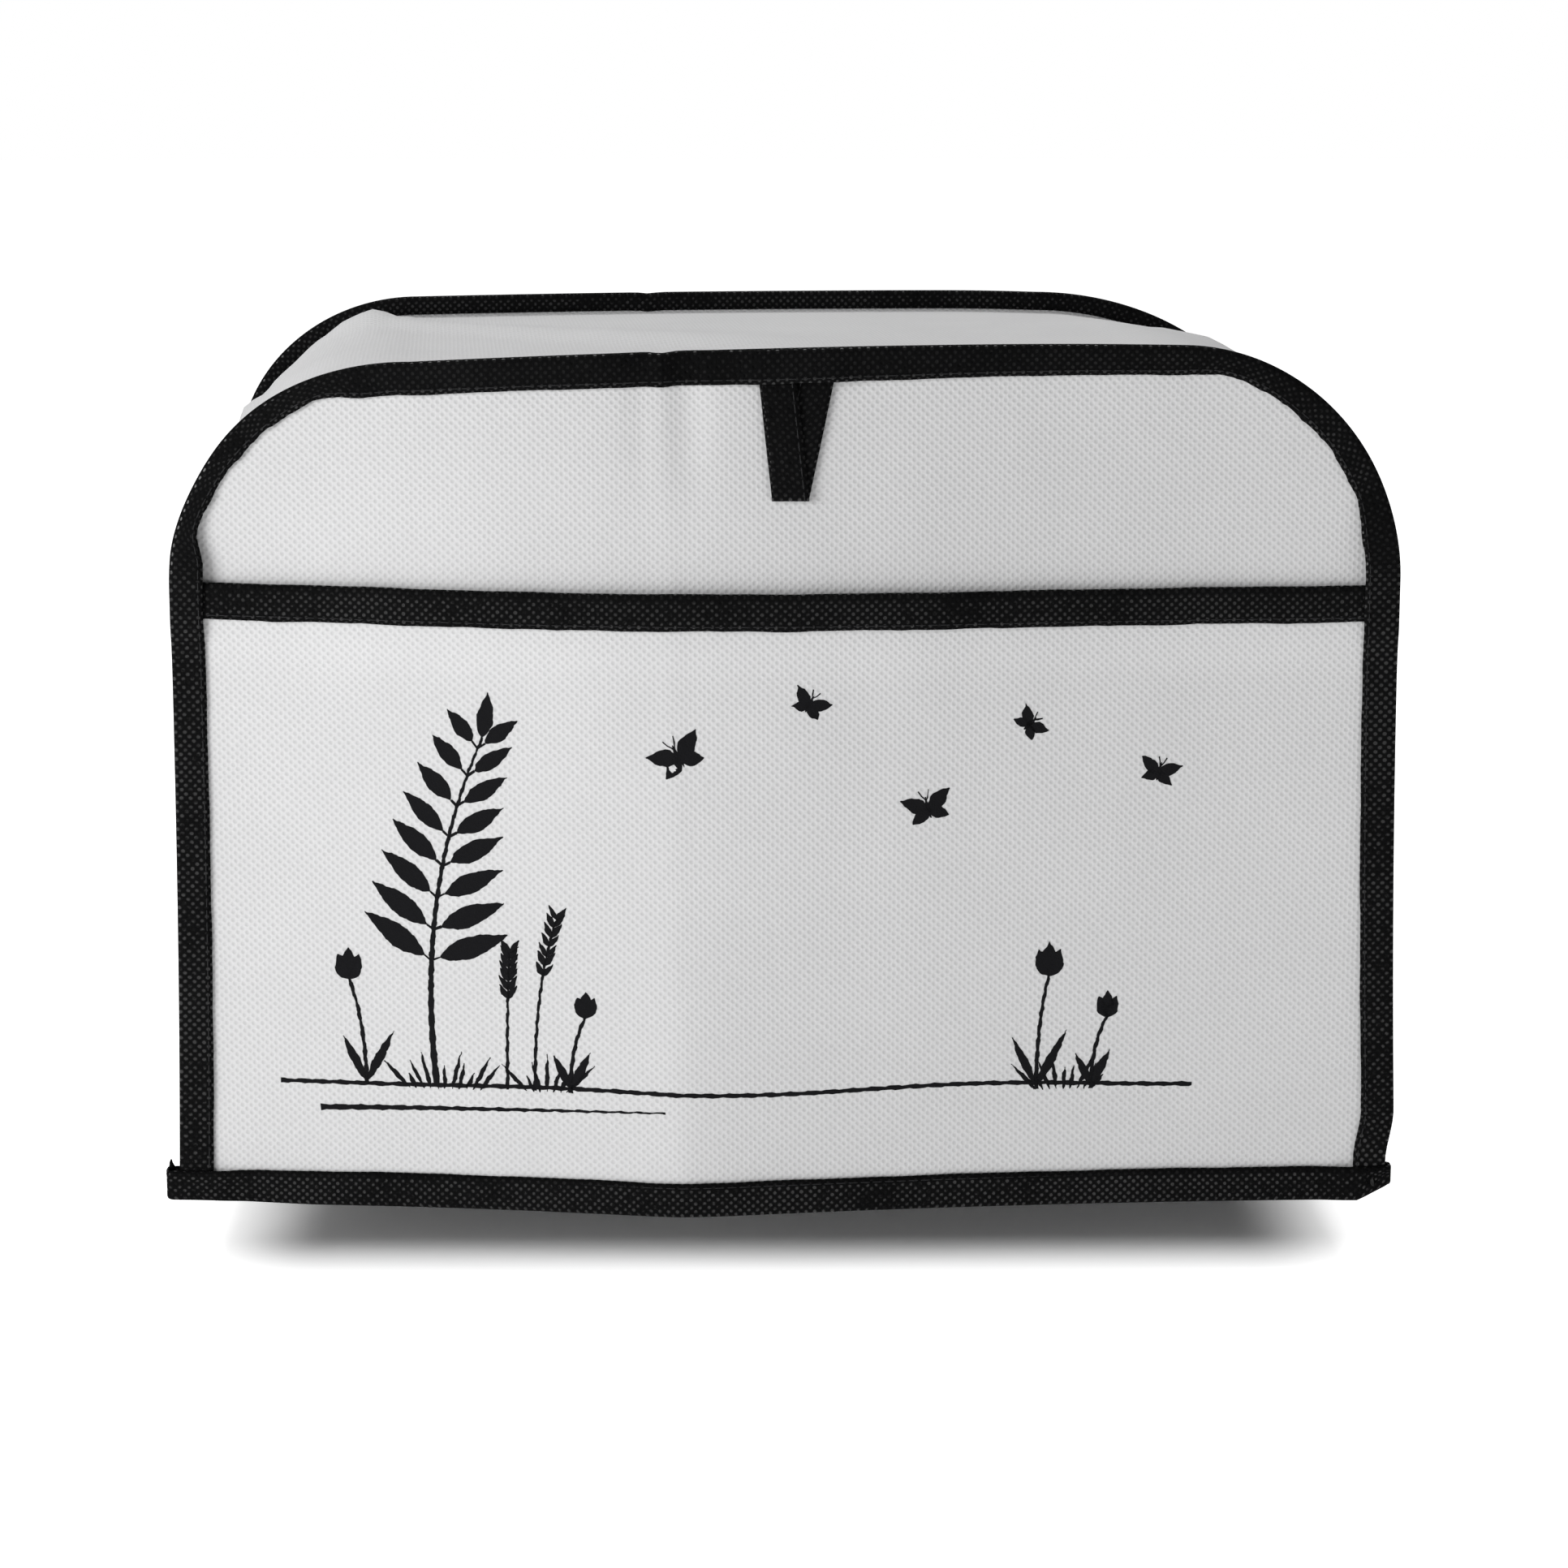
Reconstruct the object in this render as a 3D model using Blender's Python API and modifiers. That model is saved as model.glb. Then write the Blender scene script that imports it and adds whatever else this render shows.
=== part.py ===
"""Fitted cover for a two-slice toaster, sewn from non-woven cloth with bound seams.

Every piece of cloth is a grid moved to its draped shape and then thickened. Lengths are in metres and +Z is up.
The pieces are laid out from the front seam and the hem: x runs across, y runs back from the front seam and
height runs up from the hem. One move at the end puts the origin under the middle of the top.
"""

from dataclasses import dataclass
import math

import bmesh
import bpy
from mathutils import Vector

# Cloth
CLOTH = 0.001
GAP = 0.00035
LAYER = CLOTH + GAP
FACE = -CLOTH / 2

# Whole cover
DEPTH = 0.190
UNDERSIDE_HEIGHT = 0.2126
FOOT = 0.0017

# Seams: the raw edges stand out as a flange inside the binding
EDGE_INSET = 0.0016
FRONT_ROOT = 0.0070
BACK_ROOT = 0.0064
ROOT_BEND = 0.0015
BACK_LEG_WIDTH = 0.0052
FOLD_RADIUS = 0.0008
BACK_BINDING_WIDTH = 0.0083
LEFT_DENT = 0.0020

# Packing crease down the front
CREASE_FOOT = -0.025
CREASE_TOP = -0.030
CREASE_ROUNDING = 0.05
BULGE_HEM = 0.0135
BULGE_MOUTH = 0.012
BULGE_TOP = 0.006
BACK_BULGE = 0.003

# Pocket and the band along its mouth
MOUTH_LEFT = 0.1606
MOUTH_RIGHT = 0.1592
MOUTH_SAG = 0.0009
MOUTH_GAPE = 0.0025
BAND_WIDTH = 0.0091

# Hem
HEM_WIDTH = 0.0092
HEM_CORNER = 0.0012
LEFT_POKE = 0.0020
BACK_POKE = 0.0004
CORNER_RISE = 0.0040
LEFT_RISE = 0.0013
RIGHT_TUCK = 0.0024

# Hanging loop: the middle of each leg at its top end and at the fold
LOOP_WIDTH = 0.0092
LOOP_FRONT_TOP = (-0.0020, 0.2145)
LOOP_BACK_TOP = (0.0084, 0.2145)
LOOP_FOLD = (0.0015, 0.1822)

# Billow of the long side strip
CROWN_BILLOW = 0.0008
LEFT_SHOULDER_BILLOW = 0.0030
RIGHT_SHOULDER_BILLOW = 0.0048
SIDE_BILLOW = 0.0022

# Width of the front binding at stations along the seam: 0 to 1 is the left side, 1 to 2 the left shoulder,
# 2 to 3 the crown, 3 to 4 the right shoulder and 4 to 5 the right side
BINDING_WIDTHS = (
    (0.00, 0.0088),
    (0.98, 0.0084),
    (1.14, 0.0053),
    (1.50, 0.0060),
    (1.73, 0.0055),
    (1.90, 0.0080),
    (2.50, 0.0084),
    (2.95, 0.0074),
    (3.18, 0.0062),
    (3.40, 0.0071),
    (3.72, 0.0074),
    (3.90, 0.0088),
    (5.00, 0.0084),
)

# Shares of a side's height where the front binding has a section, close together over the band of the pocket
SIDE_SECTIONS = (0.12, 0.30, 0.50, 0.68, 0.80, 0.868, 0.90, 0.925, 0.97, 0.99, 1.0, 1.035)
POCKET_ROWS = (0.0, 0.14, 0.28, 0.42, 0.56, 0.68, 0.78, 0.86, 0.89, 0.92, 0.955, 1.0)

WHITE = (0.80, 0.80, 0.80, 1.0)
BLACK = (0.008, 0.008, 0.008, 1.0)


def mix(low, high, share):
    return low + (high - low) * share


def ramp(value, start, end):
    """Smooth step from 0 at start to 1 at end."""
    share = min(max((value - start) / (end - start), 0.0), 1.0)
    return share * share * (3 - 2 * share)


def bell(value, middle, reach):
    """Smooth bump of height 1 at middle that ends at reach on either side."""
    return 1 - ramp(abs(value - middle), 0.0, reach)


def from_table(table, station):
    """Smoothly joined value of a two-column table at a station."""
    for (start, low), (end, high) in zip(table, table[1:]):
        if station <= end:
            return mix(low, high, ramp(station, start, end))
    return table[-1][1]


@dataclass(frozen=True)
class Arch:
    """Outer edge of a bound seam: upright sides, rounded shoulders and a drooping crown."""

    left_side: float
    right_side: float
    left_spring: float
    right_spring: float
    crown_left: float
    crown_right: float
    crown_peak: float
    crown_height: float
    left_droop: float
    right_droop: float
    left_flare: float
    right_flare: float
    right_tuck: float
    left_dent: float

    def dent(self, height):
        """How far the lower left shoulder is pushed in."""
        return self.left_dent * bell(height, 0.187, 0.028)

    def left_x(self, height):
        drop = max(self.left_spring - height, 0.0) / self.left_spring
        return -self.left_side - self.left_flare * drop**2.3 + self.dent(height)

    def right_x(self, height):
        drop = max(self.right_spring - height, 0.0) / self.right_spring
        tuck = self.right_tuck * (1 - ramp(height, 0.009, 0.024))
        return self.right_side + self.right_flare * drop**2 - tuck

    def crown(self, x):
        if x < self.crown_peak:
            share = (self.crown_peak - x) / (self.crown_peak - self.crown_left)
            return self.crown_height - self.left_droop * share**2
        share = (x - self.crown_peak) / (self.crown_right - self.crown_peak)
        return self.crown_height - self.right_droop * share**2

    def point(self, station):
        """(x, height) of the edge at a station from 0 at the left foot to 5 at the right foot."""
        if station <= 1:
            height = self.left_spring * max(station, 0.0)
            return self.left_x(height), height
        if station >= 4:
            height = self.right_spring * max(5 - station, 0.0)
            return self.right_x(height), height
        if station < 2:
            turn = math.radians(90 * (station - 1))
            reach = self.crown_left + self.left_side
            rise = self.crown(self.crown_left) - self.left_spring
            height = self.left_spring + rise * math.sin(turn)
            return self.crown_left - reach * math.cos(turn) + self.dent(height), height
        if station > 3:
            turn = math.radians(90 * (4 - station))
            reach = self.right_side - self.crown_right
            rise = self.crown(self.crown_right) - self.right_spring
            return self.crown_right + reach * math.cos(turn), self.right_spring + rise * math.sin(turn)
        x = mix(self.crown_left, self.crown_right, station - 2)
        return x, self.crown(x)

    def outward(self, station):
        """Unit (x, height) direction away from the middle, square to the edge."""
        x0, height0 = self.point(max(station - 0.03, 0.0))
        x1, height1 = self.point(min(station + 0.03, 5.0))
        length = math.hypot(x1 - x0, height1 - height0)
        return -(height1 - height0) / length, (x1 - x0) / length

    def inset(self, station, distance):
        """(x, height) at a distance inside the edge."""
        x, height = self.point(station)
        away_x, away_height = self.outward(station)
        return x - away_x * distance, height - away_height * distance


FRONT = Arch(
    left_side=0.1525,
    right_side=0.1534,
    left_spring=0.166,
    right_spring=0.161,
    crown_left=-0.092,
    crown_right=0.098,
    crown_peak=0.060,
    crown_height=0.2192,
    left_droop=0.0041,
    right_droop=0.0004,
    left_flare=0.0023,
    right_flare=0.0037,
    right_tuck=RIGHT_TUCK,
    left_dent=LEFT_DENT,
)
BACK = Arch(
    left_side=0.1585,
    right_side=0.1480,
    left_spring=0.169,
    right_spring=0.165,
    crown_left=-0.105,
    crown_right=0.076,
    crown_peak=0.048,
    crown_height=0.2195,
    left_droop=0.0017,
    right_droop=0.0005,
    left_flare=0.0015,
    right_flare=0.0018,
    right_tuck=0.0,
    left_dent=0.0,
)


def seam_stations(side_steps, shoulder_steps, crown_steps):
    """Stations along an arch, evenly spread over each of its five stretches."""
    stations = [0.0]
    for steps in (side_steps, shoulder_steps, crown_steps, shoulder_steps, side_steps):
        start = round(stations[-1])
        stations += [start + (step + 1) / steps for step in range(steps)]
    return stations


def front_binding_stations():
    """Stations for the front binding: its side sections on both sides, and even steps between."""
    upper = [station for station in seam_stations(1, 13, 22) if 1.05 < station < 3.95]
    left = [0.0, *SIDE_SECTIONS]
    return left + upper + [5 - share for share in reversed(left)]


def front_bulge(x, height):
    """How far the front stands out of its seam plane along the packing crease."""
    crease = mix(CREASE_FOOT, CREASE_TOP, height / FRONT.crown_height)
    if x < crease:
        share, power = (x + FRONT.left_side) / (crease + FRONT.left_side), 1.0
    else:
        share, power = (FRONT.right_side - x) / (FRONT.right_side - crease), 1.5
    distance = 1 - min(max(share, 0.0), 1.0)
    share = max(1 - (math.hypot(distance, CREASE_ROUNDING) - CREASE_ROUNDING) / 0.952, 0.0)
    low = min(height / MOUTH_LEFT, 1.0)
    shape = mix(share**1.9, ramp(share, 0.0, 1.0) ** power, low)
    if height < MOUTH_LEFT:
        return shape * mix(BULGE_HEM, BULGE_MOUTH, low)
    return shape * mix(BULGE_MOUTH, BULGE_TOP, (height - MOUTH_LEFT) / (FRONT.crown_height - MOUTH_LEFT))


def across(x):
    """Share of the way from the left side to the right side."""
    return min(max((x + FRONT.left_side) / (FRONT.left_side + FRONT.right_side), 0.0), 1.0)


def mouth_height(x):
    share = across(x)
    return mix(MOUTH_LEFT, MOUTH_RIGHT, share) - MOUTH_SAG * 4 * share * (1 - share)


def pocket_lift(x, height):
    """How far the pocket stands off the front panel, to make room for the band round its mouth."""
    mouth = mouth_height(x)
    share = across(x)
    gape = MOUTH_GAPE * (4 * share * (1 - share)) ** 2 * ramp(height, 0.4 * mouth, mouth)
    return LAYER * ramp(height, mouth - BAND_WIDTH - 0.014, mouth - BAND_WIDTH - 0.001) + gape


def front_y(x, height, layers):
    """Depth of the middle of a sheet so many layers in front of the front panel."""
    return -front_bulge(x, height) - FACE - layers * LAYER


def back_y(x, height, layers):
    """Depth of the middle of a sheet so many layers behind the back panel."""
    share = min(max((x + BACK.left_side) / (BACK.left_side + BACK.right_side), 0.0), 1.0)
    bulge = BACK_BULGE * math.sin(math.pi * share) * bell(height, 0.09, 0.13)
    return DEPTH + bulge + FACE + layers * LAYER


def binding_lift(x, height):
    """Layers between the front panel and the front binding, counting the binding."""
    mouth = mouth_height(x)
    low = 1 - ramp(height, mouth + 0.0008, mouth + 0.008)
    band = ramp(height, mouth - BAND_WIDTH - 0.007, mouth - BAND_WIDTH - 0.001)
    loop = bell(x, 0.0033, 0.020) if height > 0.19 else 0.0
    return 1 + low * (1 + band) + low * pocket_lift(x, height) / LAYER + 2 * min(loop * 1.8, 1.0)


def corner_rise(x):
    """Height that the hem gains towards its turned-back right front corner and its lifted left one."""
    right = CORNER_RISE * min(max((x - 0.1470) / 0.0077, 0.0), 1.0)
    return right + LEFT_RISE * ramp(-x, 0.1150, 0.1560)


def foot_height(x):
    """Lower end of what the hem encloses along the front, clear of its corners."""
    right = CORNER_RISE * min(max((x - 0.1385) / 0.0140, 0.0), 1.1)
    return FOOT + right + LEFT_RISE * ramp(-x, 0.1000, 0.1500)


def cloth_object(name, colour, roughness, columns, rows, shape, closed=False):
    """Sheet of cloth: a grid moved to shape(column, row) and thickened to both sides."""
    bm = bmesh.new()
    bmesh.ops.create_grid(bm, x_segments=columns, y_segments=rows, size=0.5)
    for vert in bm.verts:
        column = round((vert.co.x + 0.5) * columns)
        row = round((vert.co.y + 0.5) * rows)
        vert.co = shape(column, row)
    if closed:
        bmesh.ops.remove_doubles(bm, verts=bm.verts, dist=0.00001)
    bmesh.ops.recalc_face_normals(bm, faces=bm.faces)
    mesh = bpy.data.meshes.new(name)
    bm.to_mesh(mesh)
    bm.free()
    mesh.shade_smooth()
    obj = bpy.data.objects.new(name, mesh)
    thick = obj.modifiers.new("Thickness", "SOLIDIFY")
    thick.thickness = CLOTH
    thick.offset = 0.0
    thick.use_even_offset = True
    material = bpy.data.materials.new(name)
    material.use_nodes = True
    shader = material.node_tree.nodes["Principled BSDF"]
    shader.inputs["Base Color"].default_value = colour
    shader.inputs["Roughness"].default_value = roughness
    shader.inputs["Metallic"].default_value = 0.0
    material.diffuse_color = colour
    mesh.materials.append(material)
    return obj


def panel_shape(arch, stations, rows, depth, rising):
    """Panel under an arch, in columns from its foot up to a station on its edge."""

    def shape(column, row):
        top_x, top_height = arch.inset(stations[column], EDGE_INSET)
        left = arch.inset(1.0, EDGE_INSET)[0]
        right = arch.inset(4.0, EDGE_INSET)[0]
        share = (top_x - left) / (right - left)
        low_x = mix(arch.left_x(0) + EDGE_INSET, arch.right_x(0) - EDGE_INSET, share)
        foot = foot_height(low_x) if rising else FOOT
        height = mix(foot, top_height, row / rows)
        x = mix(arch.left_x(height) + EDGE_INSET, arch.right_x(height) - EDGE_INSET, share)
        return Vector((x, depth(x, height, 0), height))

    return shape


def front_panel():
    stations = [station for station in seam_stations(1, 11, 22) if 1 <= station <= 4]
    rows = 12
    shape = panel_shape(FRONT, stations, rows, front_y, True)
    return cloth_object("front_panel", WHITE, 0.85, len(stations) - 1, rows, shape)


def back_panel():
    stations = [station for station in seam_stations(1, 8, 14) if 1 <= station <= 4]
    rows = 8
    shape = panel_shape(BACK, stations, rows, back_y, False)
    return cloth_object("back_panel", WHITE, 0.85, len(stations) - 1, rows, shape)


def pocket_panel():
    columns, rows = 36, len(POCKET_ROWS) - 1

    def shape(column, row):
        share = mix(column / columns, ramp(column / columns, 0.0, 1.0), 0.3)
        low_x = mix(FRONT.left_x(0) + EDGE_INSET, FRONT.right_x(0) - EDGE_INSET, share)
        top = mouth_height(low_x) - LAYER / 2 - CLOTH
        height = mix(foot_height(low_x), top, POCKET_ROWS[row])
        x = mix(FRONT.left_x(height) + EDGE_INSET, FRONT.right_x(height) - EDGE_INSET, share)
        return Vector((x, front_y(x, height, 1) - pocket_lift(x, height), height))

    return cloth_object("pocket_panel", WHITE, 0.85, columns, rows, shape)


def pocket_binding():
    """Band folded over the pocket's mouth, with its ends under the side bindings."""
    columns = 36
    # Layers in front of the pocket, and depth below the mouth
    profile = (
        (1.0, BAND_WIDTH),
        (1.0, BAND_WIDTH / 2),
        (1.0, LAYER + CLOTH / 2),
        (0.7, CLOTH / 2 + LAYER * 0.3),
        (0.0, CLOTH / 2),
        (-0.7, CLOTH / 2 + LAYER * 0.3),
        (-1.0, LAYER + CLOTH / 2),
        (-1.0, BAND_WIDTH - 0.0006),
    )

    def shape(column, row):
        share = mix(column / columns, ramp(column / columns, 0.0, 1.0), 0.3)
        layers, below = profile[row]
        height = mouth_height(mix(-FRONT.left_side, FRONT.right_side, share)) - below
        x = mix(FRONT.left_x(height) + EDGE_INSET, FRONT.right_x(height) - EDGE_INSET, share)
        lift = pocket_lift(x, min(height, mouth_height(x) - 0.001))
        return Vector((x, front_y(x, height, 1 + layers) - lift, height))

    return cloth_object("pocket_binding", BLACK, 0.7, columns, len(profile) - 1, shape)


def seam_binding(name, arch, stations, width_at, depth, near, far, rising):
    """Tape folded over a seam's flange. near and far give the layer of each leg at (x, height)."""

    def shape(column, row):
        station = stations[column]
        width = width_at(station)
        # Inset, share of the way from the near leg to the far leg, and the same again as a length
        inset, share, turn = (
            (width, 0.0, 0.0),
            (mix(width, 0.0013, 0.5), 0.0, 0.0),
            (CLOTH / 2 + FOLD_RADIUS, 0.0, 0.0),
            (CLOTH / 2 + FOLD_RADIUS * 0.3, 0.0, FOLD_RADIUS * 0.3),
            (CLOTH / 2, 0.0, FOLD_RADIUS),
            (CLOTH / 2, 1.0, -FOLD_RADIUS),
            (CLOTH / 2 + FOLD_RADIUS * 0.3, 1.0, -FOLD_RADIUS * 0.3),
            (CLOTH / 2 + FOLD_RADIUS, 1.0, 0.0),
            (BACK_LEG_WIDTH, 1.0, 0.0),
        )[row]
        x, height = arch.inset(station, inset)
        height = max(height, foot_height(x) if rising else FOOT)
        start, end = near(x, height), far(x, height)
        y = depth(x, height, mix(start, end, share) + turn / LAYER * (1 if end > start else -1))
        return Vector((x, y, height))

    return cloth_object(name, BLACK, 0.7, len(stations) - 1, 8, shape)


def gusset():
    """One strip for the left side, the top and the right side, its edges turned out into both seams."""
    stations = seam_stations(6, 10, 18)
    side_rows = 7
    flange = ((EDGE_INSET, 0.0), (None, 0.0), (None, ROOT_BEND * 0.3), (None, ROOT_BEND))
    rows = 2 * len(flange) + side_rows - 2

    def flange_point(arch, station, root, row, depth):
        inset = (EDGE_INSET, root - ROOT_BEND, root - ROOT_BEND * 0.3, root)[row]
        x, height = arch.inset(station, inset)
        height = max(height, foot_height(x) if arch is FRONT else FOOT)
        return x, depth(x, height, -1), height, flange[row][1]

    def billow(station, share):
        side = math.sin(math.pi * station) ** 2 if station < 1 or station > 4 else 0.0
        amount = CROWN_BILLOW * bell(station, 2.5, 1.4) + SIDE_BILLOW * side
        amount += LEFT_SHOULDER_BILLOW * bell(station, 1.65, 0.6)
        amount += RIGHT_SHOULDER_BILLOW * bell(station, 3.40, 0.6)
        return amount * math.sin(math.pi * share)

    def shape(column, row):
        station = stations[column]
        last = len(flange) - 1
        if row <= last:
            x, y, height, turn = flange_point(FRONT, station, FRONT_ROOT, row, front_y)
            return Vector((x, y + turn, height))
        if row >= rows - last:
            x, y, height, turn = flange_point(BACK, station, BACK_ROOT, rows - row, back_y)
            return Vector((x, y - turn, height))
        share = (row - last) / (rows - 2 * last)
        x0, y0, height0, turn = flange_point(FRONT, station, FRONT_ROOT, last, front_y)
        x1, y1, height1, turn = flange_point(BACK, station, BACK_ROOT, last, back_y)
        away_x, away_height = FRONT.outward(station)
        out = billow(station, share)
        x = mix(x0, x1, share) + away_x * out
        y = mix(y0 + turn, y1 - turn, share)
        return Vector((x, y, mix(height0, height1, share) + away_height * out))

    return cloth_object("gusset", WHITE, 0.85, len(stations) - 1, rows, shape)


def bend(before, corner, after, radius, steps=3):
    """Rounded corner of a plan line, from its tangent point on one side to that on the other."""
    start = corner + (before - corner).normalized() * radius
    end = corner + (after - corner).normalized() * radius
    points = []
    for step in range(steps + 1):
        share = step / steps
        points.append(start.lerp(corner, share).lerp(corner.lerp(end, share), share))
    return points


def hem_corner(arch, side, front):
    """Plan points of the hem round a flange's foot, from the panel to the side: the outer leg, then the inner."""
    edge_x = arch.left_x if side < 0 else arch.right_x
    root = FRONT_ROOT if front else BACK_ROOT
    poke = (LEFT_POKE if side < 0 else 0.0) if front else BACK_POKE
    depth = front_y if front else back_y
    end_x = edge_x(0.0) + side * (LAYER - CLOTH / 2 + poke)
    wall_x = edge_x(0.0) - side * (root - LAYER)
    inner_x = edge_x(HEM_WIDTH) - side * (root + LAYER)
    panel_layers = 3 if front else 2
    outer_y = depth(edge_x(0.0), 0.0, panel_layers)
    behind_y = depth(edge_x(0.0), 0.0, -3)
    inner_y = depth(inner_x, 0.0, -1)
    middle_y = DEPTH / 2
    first = Vector((end_x, outer_y))
    second = Vector((end_x, behind_y))
    third = Vector((wall_x, behind_y))
    outer = bend(Vector((0.0, outer_y)), first, second, HEM_CORNER)
    outer += bend(first, second, third, HEM_CORNER)
    outer += bend(second, third, Vector((wall_x, middle_y)), HEM_CORNER)
    inner_corner = Vector((inner_x, inner_y))
    inner = bend(
        Vector((0.0, inner_y)), inner_corner, Vector((inner_x, middle_y)), 0.003, len(outer) - 1
    )
    return outer, inner


def hem_binding():
    """Tape folded over the bottom edge, once round the cover."""
    panel_steps = {True: 40, False: 16}
    side_steps = 6
    left_front = hem_corner(FRONT, -1, True)
    right_front = hem_corner(FRONT, 1, True)
    left_back = hem_corner(BACK, -1, False)
    right_back = hem_corner(BACK, 1, False)

    def panel_run(start, end, front):
        """Plan pairs between two flange corners, following the panel between them."""
        steps = panel_steps[front]
        depth = front_y if front else back_y
        pairs = []
        for step in range(1, steps):
            share = mix(step / steps, ramp(step / steps, 0.0, 1.0), 0.6)
            outer_x = mix(start[0].x, end[0].x, share)
            inner_x = mix(start[1].x, end[1].x, share)
            arch = FRONT if front else BACK
            near_side = min(outer_x - arch.left_x(0.0), arch.right_x(0.0) - outer_x)
            over_binding = 1 - ramp(near_side, 0.0098, 0.0160)
            layers = (2 if front else 1) + over_binding
            outer = Vector((outer_x, depth(outer_x, 0.0, layers)))
            inner = Vector((inner_x, depth(inner_x, 0.0, -1)))
            pairs.append((outer, inner))
        return pairs

    def side_run(start, end):
        """Plan pairs along a side, between the flanges."""
        pairs = []
        for step in range(1, side_steps):
            share = step / side_steps
            pairs.append((start[0].lerp(end[0], share), start[1].lerp(end[1], share)))
        return pairs

    plan = list(zip(*left_front))[::-1]
    right_pairs = list(zip(*right_front))
    plan += panel_run(plan[-1], right_pairs[0], True) + right_pairs
    back_pairs = list(zip(*right_back))[::-1]
    plan += side_run(plan[-1], back_pairs[0]) + back_pairs
    left_pairs = list(zip(*left_back))
    plan += panel_run(plan[-1], left_pairs[0], False) + left_pairs
    plan += side_run(plan[-1], plan[0])
    plan.append(plan[0])

    # Step across from the outer leg to the inner one, then height
    bottom = CLOTH / 2
    profile = (
        (0.0, 0.0, HEM_WIDTH - CLOTH / 2),
        (0.0, 0.0, HEM_WIDTH / 2),
        (0.0, 0.0, bottom + FOLD_RADIUS),
        (0.0, FOLD_RADIUS, bottom),
        (1.0, -FOLD_RADIUS, bottom),
        (1.0, 0.0, bottom + FOLD_RADIUS),
        (1.0, 0.0, HEM_WIDTH - 0.0012),
    )

    def shape(column, row):
        outer, inner = plan[column]
        share, step, height = profile[row]
        place = outer.lerp(inner, share)
        if step:
            place = place + (inner - outer).normalized() * step
        rise = 0.0
        if place.y < 0.006:
            rise = corner_rise(place.x) * (1 - ramp(height, 0.002, HEM_WIDTH))
        return Vector((place.x, place.y, height + rise))

    return cloth_object("hem_binding", BLACK, 0.7, len(plan) - 1, len(profile) - 1, shape, True)


def hang_loop():
    """Stitched tape folded in two: one leg hangs in front of the other and both go up under the binding."""
    leg_rows, fold_rows, columns = 6, 4, 2
    rows = 2 * leg_rows + fold_rows

    def shape(column, row):
        if row <= leg_rows:
            share, layers, drop = row / leg_rows, 2.0, 0.0
            top = LOOP_FRONT_TOP
        elif row >= leg_rows + fold_rows:
            share, layers, drop = (rows - row) / leg_rows, 1.0, 0.0
            top = LOOP_BACK_TOP
        else:
            turn = math.pi * (row - leg_rows) / fold_rows
            share, layers, drop = 1.0, 1.5 + 0.5 * math.cos(turn), LAYER / 2 * math.sin(turn)
            top = LOOP_FRONT_TOP
        middle = mix(top[0], LOOP_FOLD[0], share)
        height = mix(top[1], LOOP_FOLD[1], share) - drop
        x = middle + LOOP_WIDTH * (column / columns - 0.5)
        return Vector((x, front_y(middle, height, layers), height))

    return cloth_object("hang_loop", BLACK, 0.7, columns, rows, shape)


def build():
    """Makes every piece in its collection, under one empty at the middle of the top's underside."""
    collection = bpy.data.collections.new("toaster_cover")
    bpy.context.scene.collection.children.link(collection)
    centre = bpy.data.objects.new("toaster_cover_origin", None)
    collection.objects.link(centre)
    bindings = (
        seam_binding(
            "front_binding",
            FRONT,
            front_binding_stations(),
            lambda station: from_table(BINDING_WIDTHS, station),
            front_y,
            binding_lift,
            lambda x, height: -2.0,
            True,
        ),
        seam_binding(
            "back_binding",
            BACK,
            seam_stations(5, 11, 14),
            lambda station: BACK_BINDING_WIDTH,
            back_y,
            lambda x, height: 1.0,
            lambda x, height: -2.0,
            False,
        ),
    )
    pieces = (front_panel(), back_panel(), gusset(), pocket_panel(), pocket_binding(), *bindings)
    for piece in (*pieces, hem_binding(), hang_loop()):
        collection.objects.link(piece)
        piece.parent = centre
        piece.location = (0.0, -DEPTH / 2, -UNDERSIDE_HEIGHT)


def main():
    for old in list(bpy.data.objects):
        bpy.data.objects.remove(old, do_unlink=True)
    build()


if __name__ == "__main__":
    main()
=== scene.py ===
"""Dressed model of a fitted toaster cover in white non-woven cloth with black bound seams.

Every piece of cloth is a grid laid on the folds of its solid, thickened and finished with the
embossed dots, the stitching and the crumpled tape edges of the real thing. Lengths are in metres.
Pieces are laid out from the front seam and the hem (x across, y back, height up) and one fixed step
moves them to the row frame.
"""

from __future__ import annotations

from dataclasses import dataclass, field
from enum import Enum
import logging
import math
from typing import Callable, Sequence

import bmesh
import bpy
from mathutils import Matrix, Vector


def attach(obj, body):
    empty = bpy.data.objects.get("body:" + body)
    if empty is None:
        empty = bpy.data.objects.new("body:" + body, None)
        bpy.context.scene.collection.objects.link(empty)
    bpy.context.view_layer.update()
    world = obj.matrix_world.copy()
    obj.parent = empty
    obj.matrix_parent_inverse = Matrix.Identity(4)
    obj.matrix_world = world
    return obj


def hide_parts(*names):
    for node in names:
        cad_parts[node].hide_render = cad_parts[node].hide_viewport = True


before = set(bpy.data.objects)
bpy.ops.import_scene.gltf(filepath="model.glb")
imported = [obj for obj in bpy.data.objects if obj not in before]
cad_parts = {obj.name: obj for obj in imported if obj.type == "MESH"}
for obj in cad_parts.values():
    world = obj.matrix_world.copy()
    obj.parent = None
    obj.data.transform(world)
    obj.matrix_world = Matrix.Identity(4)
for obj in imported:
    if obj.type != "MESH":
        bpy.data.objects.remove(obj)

log = logging.getLogger("toaster_cover")

BODY = "root"
DEPTH = 0.190
UNDERSIDE_HEIGHT = 0.2126

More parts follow.
